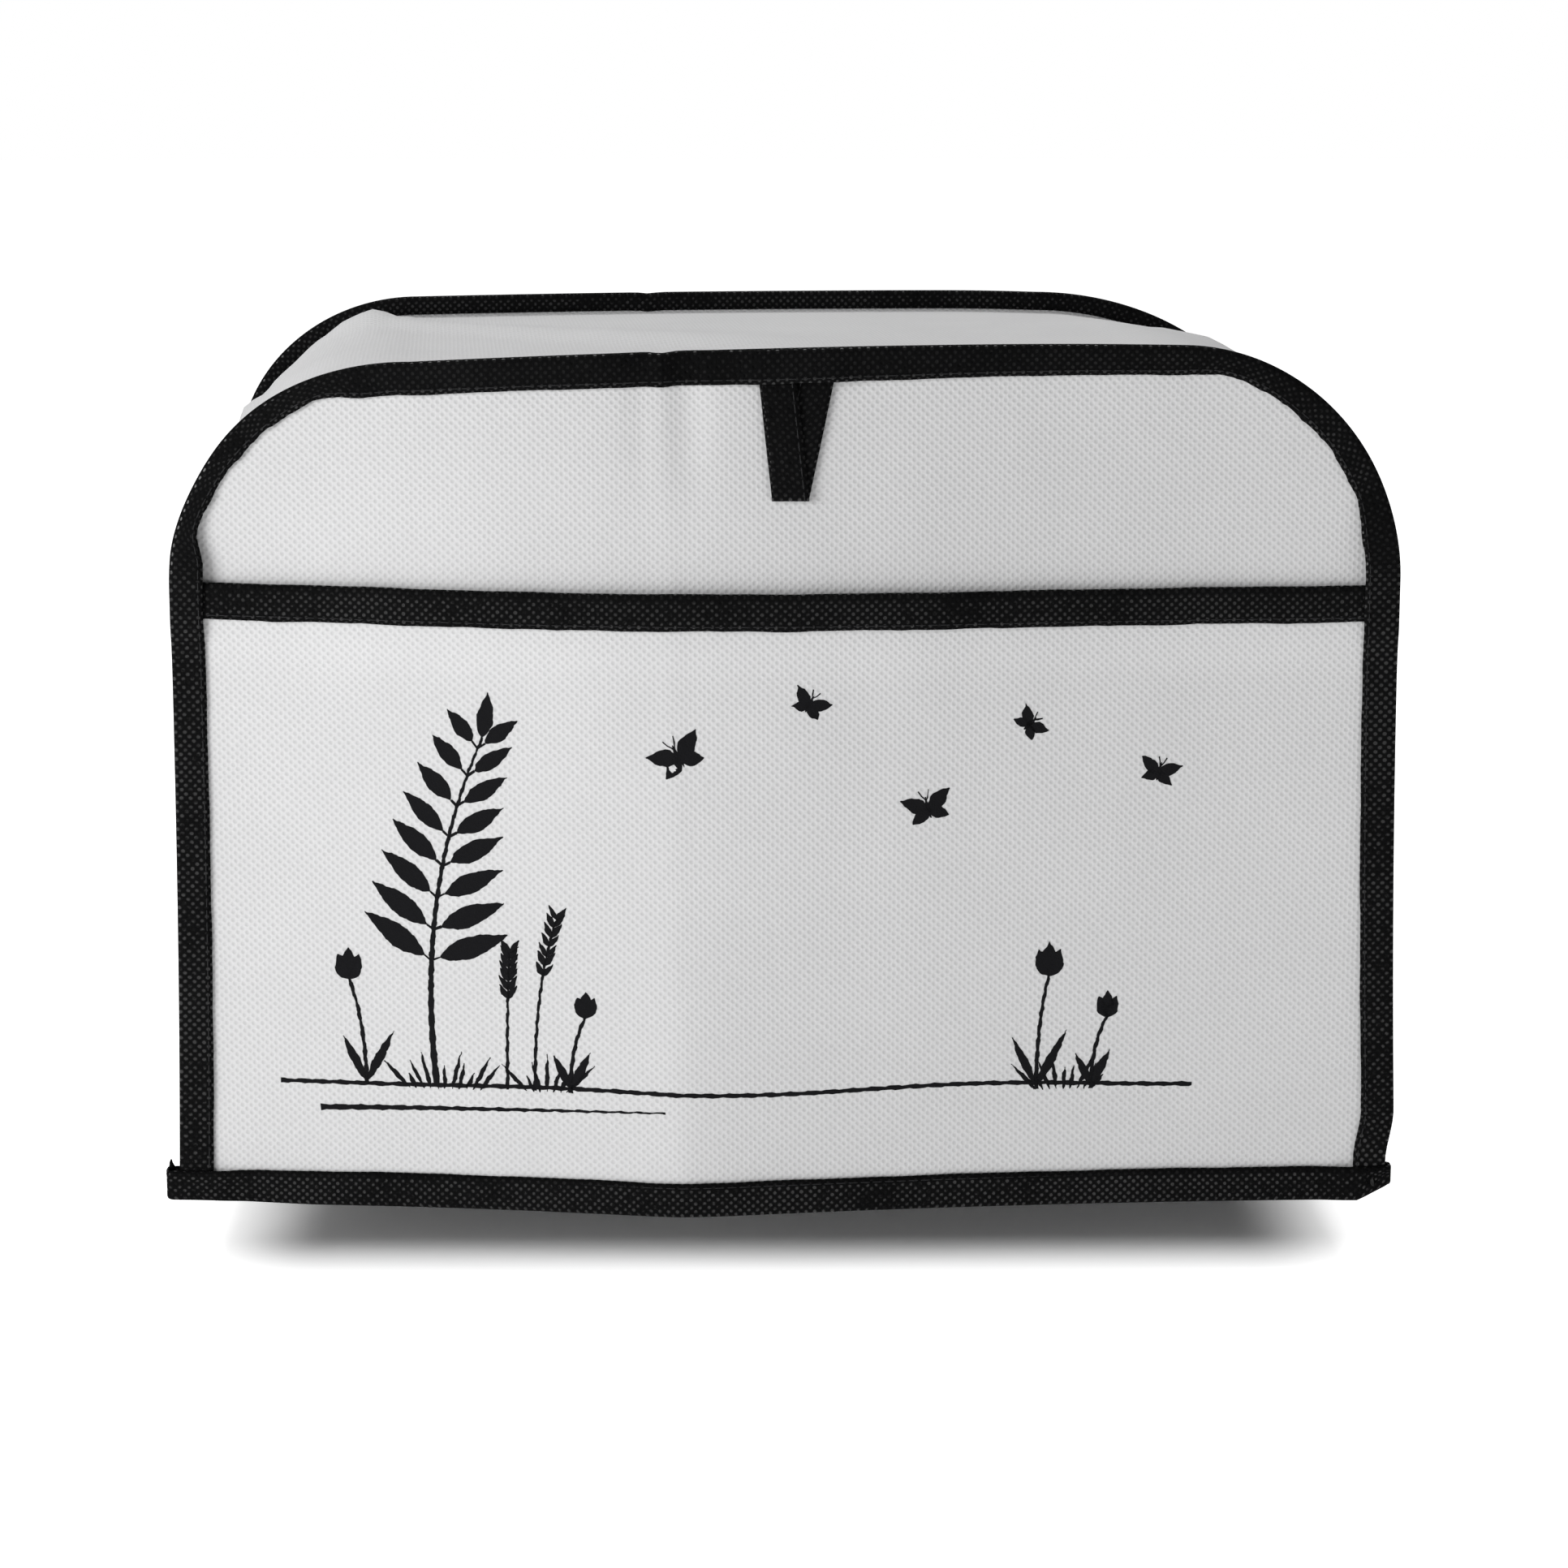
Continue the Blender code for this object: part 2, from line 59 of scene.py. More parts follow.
Pair = tuple[float, float]
Plan = list[tuple[Vector, Vector]]
Line = list[tuple[Vector, Vector]]
Shape = Callable[[int, int], Vector]
Colour = tuple[float, float, float]
NodeSocket = bpy.types.NodeSocket


class Slot(Enum):
    """Material slots of the record."""

    WHITE = "white_cloth"
    BLACK = "black_binding"


class Layout(Enum):
    """How the embossed dots lie on a sheet."""

    BY_PLACE = "across and up, as on a panel cut flat"
    BY_LENGTH = "along and across, as on a strip"


def mix(low: float, high: float, share: float) -> float:
    """Straight blend from low to high."""
    return low + (high - low) * share


def ramp(value: float, start: float, end: float) -> float:
    """Smooth step from 0 at start to 1 at end."""
    share = min(max((value - start) / (end - start), 0.0), 1.0)
    return share * share * (3 - 2 * share)


def bell(value: float, middle: float, reach: float) -> float:
    """Smooth bump of height 1 at middle that ends at reach on either side."""
    return 1 - ramp(abs(value - middle), 0.0, reach)


def from_table(table: Sequence[Pair], station: float) -> float:
    """Smoothly joined value of a two-column table.

    Args:
        table: Rows of station and value, in rising order of station.
        station: Where the value is read.

    Returns:
        The value at that station.
    """
    for (start, low), (end, high) in zip(table, table[1:]):
        if station <= end:
            return mix(low, high, ramp(station, start, end))
    return table[-1][1]


def wander(value: float, seed: float) -> float:
    """Even, repeatable unevenness between about -1 and 1 along a length in units of its own."""
    waves = ((1.0, 0.0, 0.5), (2.3, 1.7, 0.3), (4.9, 4.1, 0.2))
    return sum(part * math.sin(rate * value + turn * seed + seed) for rate, turn, part in waves)


def stepped(place: Pair, turn: float, distance: float) -> Pair:
    """Place at a distance from another, at an angle in radians counted from the right."""
    return place[0] + distance * math.cos(turn), place[1] + distance * math.sin(turn)


def placed(x: float, y: float, height: float) -> Vector:
    """Point of the row frame for a place counted from the front seam and the hem."""
    return Vector((x, y - DEPTH / 2, height - UNDERSIDE_HEIGHT))


@dataclass(frozen=True)
class Arch:
    """Outer edge of a bound seam: upright sides, rounded shoulders and a drooping crown."""

    left_side: float
    right_side: float
    left_spring: float
    right_spring: float
    crown_left: float
    crown_right: float
    crown_peak: float
    crown_height: float
    left_droop: float
    right_droop: float
    left_flare: float
    right_flare: float
    right_tuck: float = 0.0
    left_dent: float = 0.0

    def dent(self, height: float) -> float:
        """How far the lower left shoulder is pushed in."""
        return self.left_dent * bell(height, 0.187, 0.028)

    def left_x(self, height: float) -> float:
        """Left edge at a height."""
        drop = max(self.left_spring - height, 0.0) / self.left_spring
        return -self.left_side - self.left_flare * drop**2.3 + self.dent(height)

    def right_x(self, height: float) -> float:
        """Right edge at a height."""
        drop = max(self.right_spring - height, 0.0) / self.right_spring
        tuck = self.right_tuck * (1 - ramp(height, 0.009, 0.024))
        return self.right_side + self.right_flare * drop**2 - tuck

    def crown(self, x: float) -> float:
        """Height of the crown across the middle."""
        if x < self.crown_peak:
            share = (self.crown_peak - x) / (self.crown_peak - self.crown_left)
            return self.crown_height - self.left_droop * share**2
        share = (x - self.crown_peak) / (self.crown_right - self.crown_peak)
        return self.crown_height - self.right_droop * share**2

    def point(self, station: float) -> Pair:
        """Place on the edge.

        Args:
            station: From 0 at the left foot to 5 at the right foot.

        Returns:
            x and height of the edge there.
        """
        if station <= 1:
            height = self.left_spring * max(station, 0.0)
            return self.left_x(height), height
        if station >= 4:
            height = self.right_spring * max(5 - station, 0.0)
            return self.right_x(height), height
        if station < 2:
            turn = math.radians(90 * (station - 1))
            reach = self.crown_left + self.left_side
            rise = self.crown(self.crown_left) - self.left_spring
            height = self.left_spring + rise * math.sin(turn)
            return self.crown_left - reach * math.cos(turn) + self.dent(height), height
        if station > 3:
            turn = math.radians(90 * (4 - station))
            reach = self.right_side - self.crown_right
            rise = self.crown(self.crown_right) - self.right_spring
            height = self.right_spring + rise * math.sin(turn)
            return self.crown_right + reach * math.cos(turn), height
        x = mix(self.crown_left, self.crown_right, station - 2)
        return x, self.crown(x)

    def outward(self, station: float) -> Pair:
        """Unit direction away from the middle, square to the edge, as x and height."""
        x0, height0 = self.point(max(station - 0.03, 0.0))
        x1, height1 = self.point(min(station + 0.03, 5.0))
        length = math.hypot(x1 - x0, height1 - height0)
        return -(height1 - height0) / length, (x1 - x0) / length

    def inset(self, station: float, distance: float) -> Pair:
        """x and height at a distance inside the edge."""
        x, height = self.point(station)
        away_x, away_height = self.outward(station)
        return x - away_x * distance, height - away_height * distance


FRONT = Arch(
    left_side=0.1525,
    right_side=0.1534,
    left_spring=0.166,
    right_spring=0.161,
    crown_left=-0.092,
    crown_right=0.098,
    crown_peak=0.060,
    crown_height=0.2192,
    left_droop=0.0041,
    right_droop=0.0004,
    left_flare=0.0023,
    right_flare=0.0037,
    right_tuck=0.0024,
    left_dent=0.0020,
)
BACK = Arch(
    left_side=0.1585,
    right_side=0.1480,
    left_spring=0.169,
    right_spring=0.165,
    crown_left=-0.105,
    crown_right=0.076,
    crown_peak=0.048,
    crown_height=0.2195,
    left_droop=0.0017,
    right_droop=0.0005,
    left_flare=0.0015,
    right_flare=0.0018,
)


def seam_stations(side_steps: int, shoulder_steps: int, crown_steps: int) -> list[float]:
    """Stations along an arch, evenly spread over each of its five stretches."""
    stations = [0.0]
    for steps in (side_steps, shoulder_steps, crown_steps, shoulder_steps, side_steps):
        start = round(stations[-1])
        stations += [start + (step + 1) / steps for step in range(steps)]
    return stations


@dataclass(frozen=True)
class Drape:
    """How the cover hangs: the packing crease, the pocket's gape and the layers at each seam."""

    cloth: float = 0.0006
    layer: float = 0.0008
    foot: float = 0.0012
    edge_inset: float = 0.0016
    crease_foot: float = -0.025
    crease_top: float = -0.030
    crease_rounding: float = 0.05
    crease_ridge: float = 0.00022
    crease_width: float = 0.0016
    bulge_hem: float = 0.0135
    bulge_mouth: float = 0.012
    bulge_top: float = 0.006
    back_bulge: float = 0.003
    mouth_left: float = 0.1606
    mouth_right: float = 0.1592
    mouth_sag: float = 0.0009
    mouth_gape: float = 0.0010
    band_width: float = 0.0091
    corner_gain: float = 0.0040
    left_gain: float = 0.0013
    ripple_depth: float = 0.00022
    valley_depth: float = 0.0013

    def crease_x(self, height: float) -> float:
        """Where the packing crease runs at a height."""
        return mix(self.crease_foot, self.crease_top, height / FRONT.crown_height)

    def ripple(self, x: float, height: float) -> float:
        """Slight unevenness that all layers of the front share."""
        across = wander(x / 0.021, 1.3) + 0.6 * wander((x + height) / 0.034, 2.9)
        along = wander(height / 0.027, 4.2)
        edge = bell(x, 0.0, 0.165) * ramp(height, 0.0, 0.03)
        return self.ripple_depth * (across + along * wander(x / 0.05, 0.4)) * edge

    def front_bulge(self, x: float, height: float) -> float:
        """How far the front stands out of its seam plane."""
        crease = self.crease_x(height)
        if x < crease:
            share, power = (x + FRONT.left_side) / (crease + FRONT.left_side), 1.0
        else:
            share, power = (FRONT.right_side - x) / (FRONT.right_side - crease), 1.5
        distance = 1 - min(max(share, 0.0), 1.0)
        rounding = self.crease_rounding
        share = max(1 - (math.hypot(distance, rounding) - rounding) / 0.952, 0.0)
        low = min(height / self.mouth_left, 1.0)
        shape = mix(share**1.9, ramp(share, 0.0, 1.0) ** power, low)
        ridge = self.crease_ridge * math.exp(-(((x - crease) / self.crease_width) ** 2))
        high = ramp(height, 0.172, 0.204)
        valley = bell(x, crease + 0.0055, 0.0085) + 0.45 * bell(x, crease - 0.0050, 0.0070)
        small = self.ripple(x, height) + ridge * (1 + high) - self.valley_depth * valley * high
        if height < self.mouth_left:
            return small + shape * mix(self.bulge_hem, self.bulge_mouth, low)
        up = (height - self.mouth_left) / (FRONT.crown_height - self.mouth_left)
        return small + shape * mix(self.bulge_mouth, self.bulge_top, up)

    def across(self, x: float) -> float:
        """Share of the way from the left side to the right side."""
        share = (x + FRONT.left_side) / (FRONT.left_side + FRONT.right_side)
        return min(max(share, 0.0), 1.0)

    def mouth_height(self, x: float) -> float:
        """Height of the pocket's mouth."""
        share = self.across(x)
        sag = self.mouth_sag * 4 * share * (1 - share)
        return mix(self.mouth_left, self.mouth_right, share) - sag

    def pocket_lift(self, x: float, height: float) -> float:
        """How far the pocket stands off the front panel, to make room for the band round its mouth."""
        mouth = self.mouth_height(x)
        share = self.across(x)
        open_share = ramp(height, 0.4 * mouth, mouth)
        gape = self.mouth_gape * (4 * share * (1 - share)) ** 2 * open_share
        low = mouth - self.band_width
        return self.layer * ramp(height, low - 0.014, low - 0.001) + gape

    def front_y(self, x: float, height: float, layers: float) -> float:
        """Depth of a sheet's middle, so many layers in front of the front panel."""
        return -self.front_bulge(x, height) + self.cloth / 2 - layers * self.layer

    def back_y(self, x: float, height: float, layers: float) -> float:
        """Depth of a sheet's middle, so many layers behind the back panel."""
        share = (x + BACK.left_side) / (BACK.left_side + BACK.right_side)
        share = min(max(share, 0.0), 1.0)
        bulge = self.back_bulge * math.sin(math.pi * share) * bell(height, 0.09, 0.13)
        small = 0.8 * self.ripple(x * 0.9 + 0.004, height)
        return DEPTH + bulge + small - self.cloth / 2 + layers * self.layer

    def binding_lift(self, x: float, height: float) -> float:
        """Layers between the front panel and the front binding, counting the binding."""
        mouth = self.mouth_height(x)
        low = 1 - ramp(height, mouth + 0.0008, mouth + 0.026)
        foot = mouth - self.band_width
        band = ramp(height, foot - 0.007, foot - 0.001)
        loop = bell(x, 0.0033, 0.020) if height > 0.19 else 0.0
        lifted = low * self.pocket_lift(x, height) / self.layer
        return 1 + low * (1 + band) + lifted + 2 * min(loop * 1.8, 1.0)

    def corner_rise(self, x: float) -> float:
        """Height that the hem gains towards its turned-back right front corner and its lifted left one."""
        right = self.corner_gain * min(max((x - 0.1470) / 0.0077, 0.0), 1.0)
        return right + self.left_gain * ramp(-x, 0.1150, 0.1560)

    def foot_height(self, x: float) -> float:
        """Lower end of what the hem encloses along the front, clear of its corners."""
        right = self.corner_gain * min(max((x - 0.1385) / 0.0140, 0.0), 1.1)
        return self.foot + right + self.left_gain * ramp(-x, 0.1000, 0.1500)


DRAPE = Drape()


@dataclass
class Nodes:
    """Shader tree with short ways to add and join its nodes."""

    tree: bpy.types.NodeTree

    def link(self, source: NodeSocket, target: NodeSocket) -> None:
        """Joins two sockets."""
        self.tree.links.new(source, target)

    def fill(self, socket: NodeSocket, value: NodeSocket | float | Sequence[float]) -> None:
        """Joins a socket to another one or gives it a fixed value."""
        if isinstance(value, NodeSocket):
            self.link(value, socket)
        else:
            socket.default_value = value

    def math(
        self, kind: str, first: NodeSocket | float, second: NodeSocket | float, clamp: bool = False
    ) -> NodeSocket:
        """Adds a math node.

        Args:
            kind: Name of the operation.
            first: First value or socket.
            second: Second value or socket.
            clamp: Whether the result is kept from 0 to 1.

        Returns:
            The node's output.
        """
        node = self.tree.nodes.new("ShaderNodeMath")
        node.operation = kind
        node.use_clamp = clamp
        self.fill(node.inputs[0], first)
        self.fill(node.inputs[1], second)
        return node.outputs[0]

    def noise(
        self, source: NodeSocket, scale: float, detail: float, distortion: float = 0.0
    ) -> NodeSocket:
        """Adds a noise texture and gives its factor."""
        node = self.tree.nodes.new("ShaderNodeTexNoise")
        values = {"Scale": scale, "Detail": detail, "Distortion": distortion, "Vector": source}
        for name, value in values.items():
            self.fill(node.inputs[name], value)
        return node.outputs["Fac"]

    def spread(
        self, source: NodeSocket, start: Pair, end: Pair, smooth: bool = False
    ) -> NodeSocket:
        """Adds a node that takes one range of values over to another.

        Args:
            source: The values.
            start: Low and high end of their range.
            end: What these ends become.
            smooth: Whether the way between them is a smooth step.

        Returns:
            The node's output.
        """
        node = self.tree.nodes.new("ShaderNodeMapRange")
        node.interpolation_type = "SMOOTHSTEP" if smooth else "LINEAR"
        names = ("Value", "From Min", "From Max", "To Min", "To Max")
        for name, value in zip(names, (source, *start, *end)):
            self.fill(node.inputs[name], value)
        return node.outputs[0]

    def by_ray(self, lighting: float, seen: float) -> NodeSocket:
        """Adds a value that is one thing as a source of light and another to the camera."""
        path = self.tree.nodes.new("ShaderNodeLightPath")
        return self.spread(path.outputs["Is Camera Ray"], (0.0, 1.0), (lighting, seen))

    def blend(
        self,
        share: NodeSocket | float,
        first: NodeSocket | Sequence[float],
        second: NodeSocket | Sequence[float],
        kind: str = "MIX",
    ) -> NodeSocket:
        """Adds a mix of two colours.

        Args:
            share: How much of the second one is taken.
            first: First colour.
            second: Second colour.
            kind: Name of the way they are mixed.

        Returns:
            The mixed colour.
        """
        node = self.tree.nodes.new("ShaderNodeMix")
        node.data_type = "RGBA"
        node.blend_type = kind
        for index, value in ((0, share), (6, first), (7, second)):
            self.fill(node.inputs[index], value)
        return node.outputs[2]

    def bump(self, height: NodeSocket, distance: float) -> NodeSocket:
        """Adds a relief and gives its normal."""
        node = self.tree.nodes.new("ShaderNodeBump")
        for name, value in {"Strength": 1.0, "Distance": distance, "Height": height}.items():
            self.fill(node.inputs[name], value)
        return node.outputs["Normal"]


def new_material(name: str) -> tuple[bpy.types.Material, Nodes, bpy.types.bpy_prop_collection]:
    """New material, its nodes and the inputs of its shader."""
    material = bpy.data.materials.new(name)
    material.use_nodes = True
    nodes = Nodes(material.node_tree)
    return material, nodes, nodes.tree.nodes["Principled BSDF"].inputs


@dataclass
class EmbossGroup:
    """Shader group for cloth that is pressed with staggered dots and shows its loose fibres."""

    name: str = "embossed_dots"
    pitch_across: float = 0.00225
    pitch_along: float = 0.00205
    ratio: float = 0.91
    softness: float = 0.20
    unevenness: float = 0.22
    outputs: tuple[str, ...] = ("Height", "Dots", "Fibres", "Patches", "Gloss")

    def counted(
        self, nodes: Nodes, place: NodeSocket, along: NodeSocket, pitch: float, grain: Pair
    ) -> NodeSocket:
        """Place in one direction counted in dots, a little uneven.

        Args:
            nodes: The group's nodes.
            place: Flat place on the cloth.
            along: The same in this direction alone.
            pitch: Distance between two dots.
            grain: Scale and detail of the unevenness.

        Returns:
            The count.
        """
        drift = nodes.math("SUBTRACT", nodes.noise(place, *grain), 0.5)
        drift = nodes.math("MULTIPLY", drift, self.unevenness)
        return nodes.math("ADD", nodes.math("DIVIDE", along, pitch), drift)

    def dot_distance(
        self, nodes: Nodes, across: NodeSocket, along: NodeSocket, shift: float
    ) -> NodeSocket:
        """Distance to the nearest dot of one of the two staggered sets.

        Args:
            nodes: The group's nodes.
            across: Place across, counted in dots.
            along: Place along, counted in dots.
            shift: Offset of this set in both directions.

        Returns:
            The distance as a share of the pitch across.
        """
        parts = []
        for place, scale in ((across, 1.0), (along, self.ratio)):
            inside = nodes.math("FRACT", nodes.math("ADD", place, shift), 0.0)
            offset = nodes.math("MULTIPLY", nodes.math("SUBTRACT", inside, 0.5), scale)
            parts.append(nodes.math("MULTIPLY", offset, offset))
        return nodes.math("SQRT", nodes.math("ADD", *parts), 0.0)

    def build(self) -> bpy.types.NodeTree:
        """Makes the group once.

        Returns:
            The group: the dots' radius goes in; height, pressed dots, fibres, patches and gloss
            come out.
        """
        tree = bpy.data.node_groups.new(self.name, "ShaderNodeTree")
        nodes = Nodes(tree)
        tree.interface.new_socket("Dot Radius", in_out="INPUT", socket_type="NodeSocketFloat")
        for name in self.outputs:
            tree.interface.new_socket(name, in_out="OUTPUT", socket_type="NodeSocketFloat")
        radius = tree.nodes.new("NodeGroupInput").outputs["Dot Radius"]
        outputs = tree.nodes.new("NodeGroupOutput").inputs
        place = tree.nodes.new("ShaderNodeUVMap").outputs["UV"]
        split = tree.nodes.new("ShaderNodeSeparateXYZ")
        nodes.link(place, split.inputs[0])
        across = self.counted(nodes, place, split.outputs["X"], self.pitch_across, (210.0, 2.0))
        along = self.counted(nodes, place, split.outputs["Y"], self.pitch_along, (95.0, 1.0))
        first = self.dot_distance(nodes, across, along, 0.0)
        second = self.dot_distance(nodes, across, along, 0.5)
        inner = nodes.math("SUBTRACT", radius, nodes.math("MINIMUM", first, second))
        edge = nodes.math("DIVIDE", inner, self.softness)
        dots = nodes.math("ADD", edge, 0.5, clamp=True)
        stretch = tree.nodes.new("ShaderNodeVectorMath")
        stretch.operation = "MULTIPLY"
        stretch.inputs[1].default_value = (1.0, 0.35, 1.0)
        nodes.link(place, stretch.inputs[0])
        fibres = nodes.noise(stretch.outputs[0], 900.0, 3.0, 1.2)
        patches = nodes.noise(place, 33.0, 3.0)
        sparkle = nodes.math("MULTIPLY", nodes.noise(place, 620.0, 2.0), 0.65)
        gloss = nodes.math("ADD", sparkle, nodes.math("MULTIPLY", patches, 0.40))
        raised = nodes.math("SUBTRACT", 1.0, dots)
        lump = nodes.math("MULTIPLY", fibres, nodes.math("ADD", raised, 0.15))
        height = nodes.math("ADD", raised, nodes.math("MULTIPLY", lump, 0.35))
        for name, source in zip(self.outputs, (height, dots, fibres, patches, gloss)):
            nodes.link(source, outputs[name])
        return tree


@dataclass(frozen=True)
class ClothFinish:
    """Non-woven cloth: its colours, gloss and the depth of its pressed dots."""

    name: str
    raised: Colour
    pressed: Colour
    patch: float
    rough_raised: float
    rough_pressed: float
    relief: float
    specular: float
    dot_coat: float = 0.0
    coat_roughness: float = 0.25
    dot_radius: float = 0.20

    def material(self, emboss: bpy.types.NodeTree) -> bpy.types.Material:
        """Makes the material.

        Args:
            emboss: The group with the pressed dots.

        Returns:
            A material that reads the piece's own UV map.
        """
        material, nodes, shader = new_material(self.name)
        group = nodes.tree.nodes.new("ShaderNodeGroup")
        group.node_tree = emboss
        group.inputs["Dot Radius"].default_value = self.dot_radius
        dots = group.outputs["Dots"]
        tone = nodes.blend(dots, (*self.raised, 1.0), (*self.pressed, 1.0))
        darker = (1.0 - self.patch, 1.0)
        shade = nodes.spread(group.outputs["Patches"], (0.3, 0.7), darker)
        fleck = nodes.spread(group.outputs["Fibres"], (0.3, 0.7), darker)
        tone = nodes.blend(1.0, tone, nodes.math("MULTIPLY", shade, fleck), "MULTIPLY")
        nodes.link(tone, shader["Base Color"])
        rough = nodes.spread(dots, (0.0, 1.0), (self.rough_raised, self.rough_pressed))
        nodes.link(rough, shader["Roughness"])
        nodes.link(nodes.bump(group.outputs["Height"], self.relief), shader["Normal"])
        shader["Specular IOR Level"].default_value = self.specular
        shader["Coat Roughness"].default_value = self.coat_roughness
        if self.dot_coat:
            worn = (0.05 * self.dot_coat, self.dot_coat)
            coat = nodes.spread(group.outputs["Gloss"], (0.43, 0.64), worn)
            nodes.link(nodes.math("MULTIPLY", dots, coat, clamp=True), shader["Coat Weight"])
        return material


WHITE_CLOTH = ClothFinish(
    name="white_non_woven",
    raised=(0.80, 0.80, 0.805),
    pressed=(0.70, 0.70, 0.705),
    patch=0.03,
    rough_raised=0.88,
    rough_pressed=0.62,
    relief=0.00009,
    specular=0.25,
)
BLACK_CLOTH = ClothFinish(
    name="black_non_woven",
    raised=(0.0070, 0.0070, 0.0073),
    pressed=(0.0042, 0.0042, 0.0044),
    patch=0.25,
    rough_raised=0.60,
    rough_pressed=0.30,
    relief=0.00016,
    specular=0.02,
    dot_coat=2.4,
    coat_roughness=0.20,
    dot_radius=0.15,
)


@dataclass(frozen=True)
class PlainFinish:
    """Ink or thread: one colour broken up by fine grain."""

    name: str
    colour: Colour
    roughness: float
    grain: float
    grain_size: float
    specular: float

    def material(self) -> bpy.types.Material:
        """Makes the material, with its grain read from Object coordinates."""
        material, nodes, shader = new_material(self.name)
        place = nodes.tree.nodes.new("ShaderNodeTexCoord").outputs["Object"]
        grain = nodes.noise(place, 1 / self.grain_size, 4.0)
        pale = (*(part * (1 + self.grain) for part in self.colour), 1.0)
        nodes.link(nodes.blend(grain, (*self.colour, 1.0), pale), shader["Base Color"])
        nodes.link(nodes.bump(grain, self.grain_size * 0.2), shader["Normal"])
        shader["Roughness"].default_value = self.roughness
        shader["Specular IOR Level"].default_value = self.specular
        return material


PRINT_INK = PlainFinish("black_ink", (0.008, 0.008, 0.009), 0.75, 0.6, 0.0004, 0.05)
BLACK_THREAD = PlainFinish("black_thread", (0.010, 0.010, 0.011), 0.55, 0.8, 0.0003, 0.30)


@dataclass
class Workroom:
    """What every sub-assembly shares: the finishes and the way a sheet is made."""

    emboss: bpy.types.NodeTree = field(default_factory=lambda: EmbossGroup().build())
    finishes: dict[str, bpy.types.Material] = field(default_factory=dict)

    def __post_init__(self) -> None:
        """Makes each finish once."""
        for finish in (WHITE_CLOTH, BLACK_CLOTH):
            self.finishes[finish.name] = finish.material(self.emboss)
        for finish in (PRINT_INK, BLACK_THREAD):
            self.finishes[finish.name] = finish.material()

    def grid(self, name: str, columns: int, rows: int) -> bpy.types.Object:
        """Adds a flat grid by the primitive operator, with nothing else selected."""
        bpy.ops.object.select_all(action="DESELECT")
        bpy.ops.mesh.primitive_grid_add(x_subdivisions=columns, y_subdivisions=rows, size=1.0)
        piece = bpy.context.object
        piece.name = name
        piece.data.name = name
        return piece

    def lay_dots(
        self,
        piece: bpy.types.Object,
        places: Sequence[tuple[int, int]],
        layout: Layout,
        shape: Shape,
        size: tuple[int, int],
    ) -> None:
        """Writes the flat place of each point of the cloth to the UV map, in metres.

        Args:
            piece: The sheet, already in its shape.
            places: Column and row of each vertex.
            layout: How the dots lie.
            shape: The sheet's shape.
            size: Number of columns and rows.
        """
        columns, rows = size
        # Lengths are taken along the middle row and across a column that is clear of the corners
        middle_row, clear_column = rows // 2, columns // 3
        along, across = [0.0], [0.0]
        for column in range(columns):
            step = shape(column + 1, middle_row) - shape(column, middle_row)
            along.append(along[-1] + step.length)
        for row in range(rows):
            step = shape(clear_column, row + 1) - shape(clear_column, row)
            across.append(across[-1] + step.length)
        uv = piece.data.uv_layers.active.data
        for loop in piece.data.loops:
            column, row = places[loop.vertex_index]
            point = piece.data.vertices[loop.vertex_index].co
            if layout is Layout.BY_PLACE:
                uv[loop.index].uv = (point.x + 0.5, point.z + 0.5)
            else:
                uv[loop.index].uv = (along[column], across[row])

    def sheet(
        self,
        name: str,
        finish: ClothFinish,
        columns: int,
        rows: int,
        shape: Shape,
        layout: Layout,
        closed: bool = False,
    ) -> bpy.types.Object:
        """Makes one sheet of cloth.

        Args:
            name: The piece's name.
            finish: Its cloth.
            columns: Faces along.
            rows: Faces across.
            shape: Place of each column and row, counted from the front seam and the hem.
            layout: How the embossed dots lie.
            closed: Whether the last column meets the first.

        Returns:
            The finished piece.
        """
        piece = self.grid(name, columns, rows)
        places: list[tuple[int, int]] = []
        for vertex in piece.data.vertices:
            column = round((vertex.co.x + 0.5) * columns)
            row = round((vertex.co.y + 0.5) * rows)
            places.append((column, row))
            vertex.co = placed(*shape(column, row))
        self.lay_dots(piece, places, layout, shape, (columns, rows))
        bpy.ops.object.mode_set(mode="EDIT")
        bpy.ops.mesh.select_all(action="SELECT")
        if closed:
            bpy.ops.mesh.remove_doubles(threshold=0.00001)
        bpy.ops.mesh.normals_make_consistent(inside=False)
        bpy.ops.object.mode_set(mode="OBJECT")
        thick = piece.modifiers.new("Thickness", "SOLIDIFY")
        thick.thickness = DRAPE.cloth
        thick.offset = 0.0
        thick.use_even_offset = True
        bpy.ops.object.modifier_apply(modifier=thick.name)
        bpy.ops.object.shade_smooth()
        return self.dressed(piece, finish.name)

    def dressed(self, piece: bpy.types.Object, finish: str) -> bpy.types.Object:
        """Gives a piece its finish."""
        piece.data.materials.clear()
        piece.data.materials.append(self.finishes[finish])
        return piece

    def stand_for(
        self,
        piece: bpy.types.Object,
        node: str,
        slot: Slot,
        flat: Pair,
        held: str,
        rests_on: Sequence[str],
        area: float,
    ) -> None:
        """Lets a sheet take the place of its solid.

        Args:
            piece: The finished sheet.
            node: The solid that it stands for.
            slot: The record's material slot; not used.
            flat: Width and length before sewing; not used.
            held: How the cloth is held; not used.
            rests_on: What it lies on or hangs from; not used.
            area: The cut's flat area; not used.
        """
        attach(piece, BODY)
        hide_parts(node)
        log.info("%s stands for %s, %d faces", piece.name, node, len(piece.data.polygons))


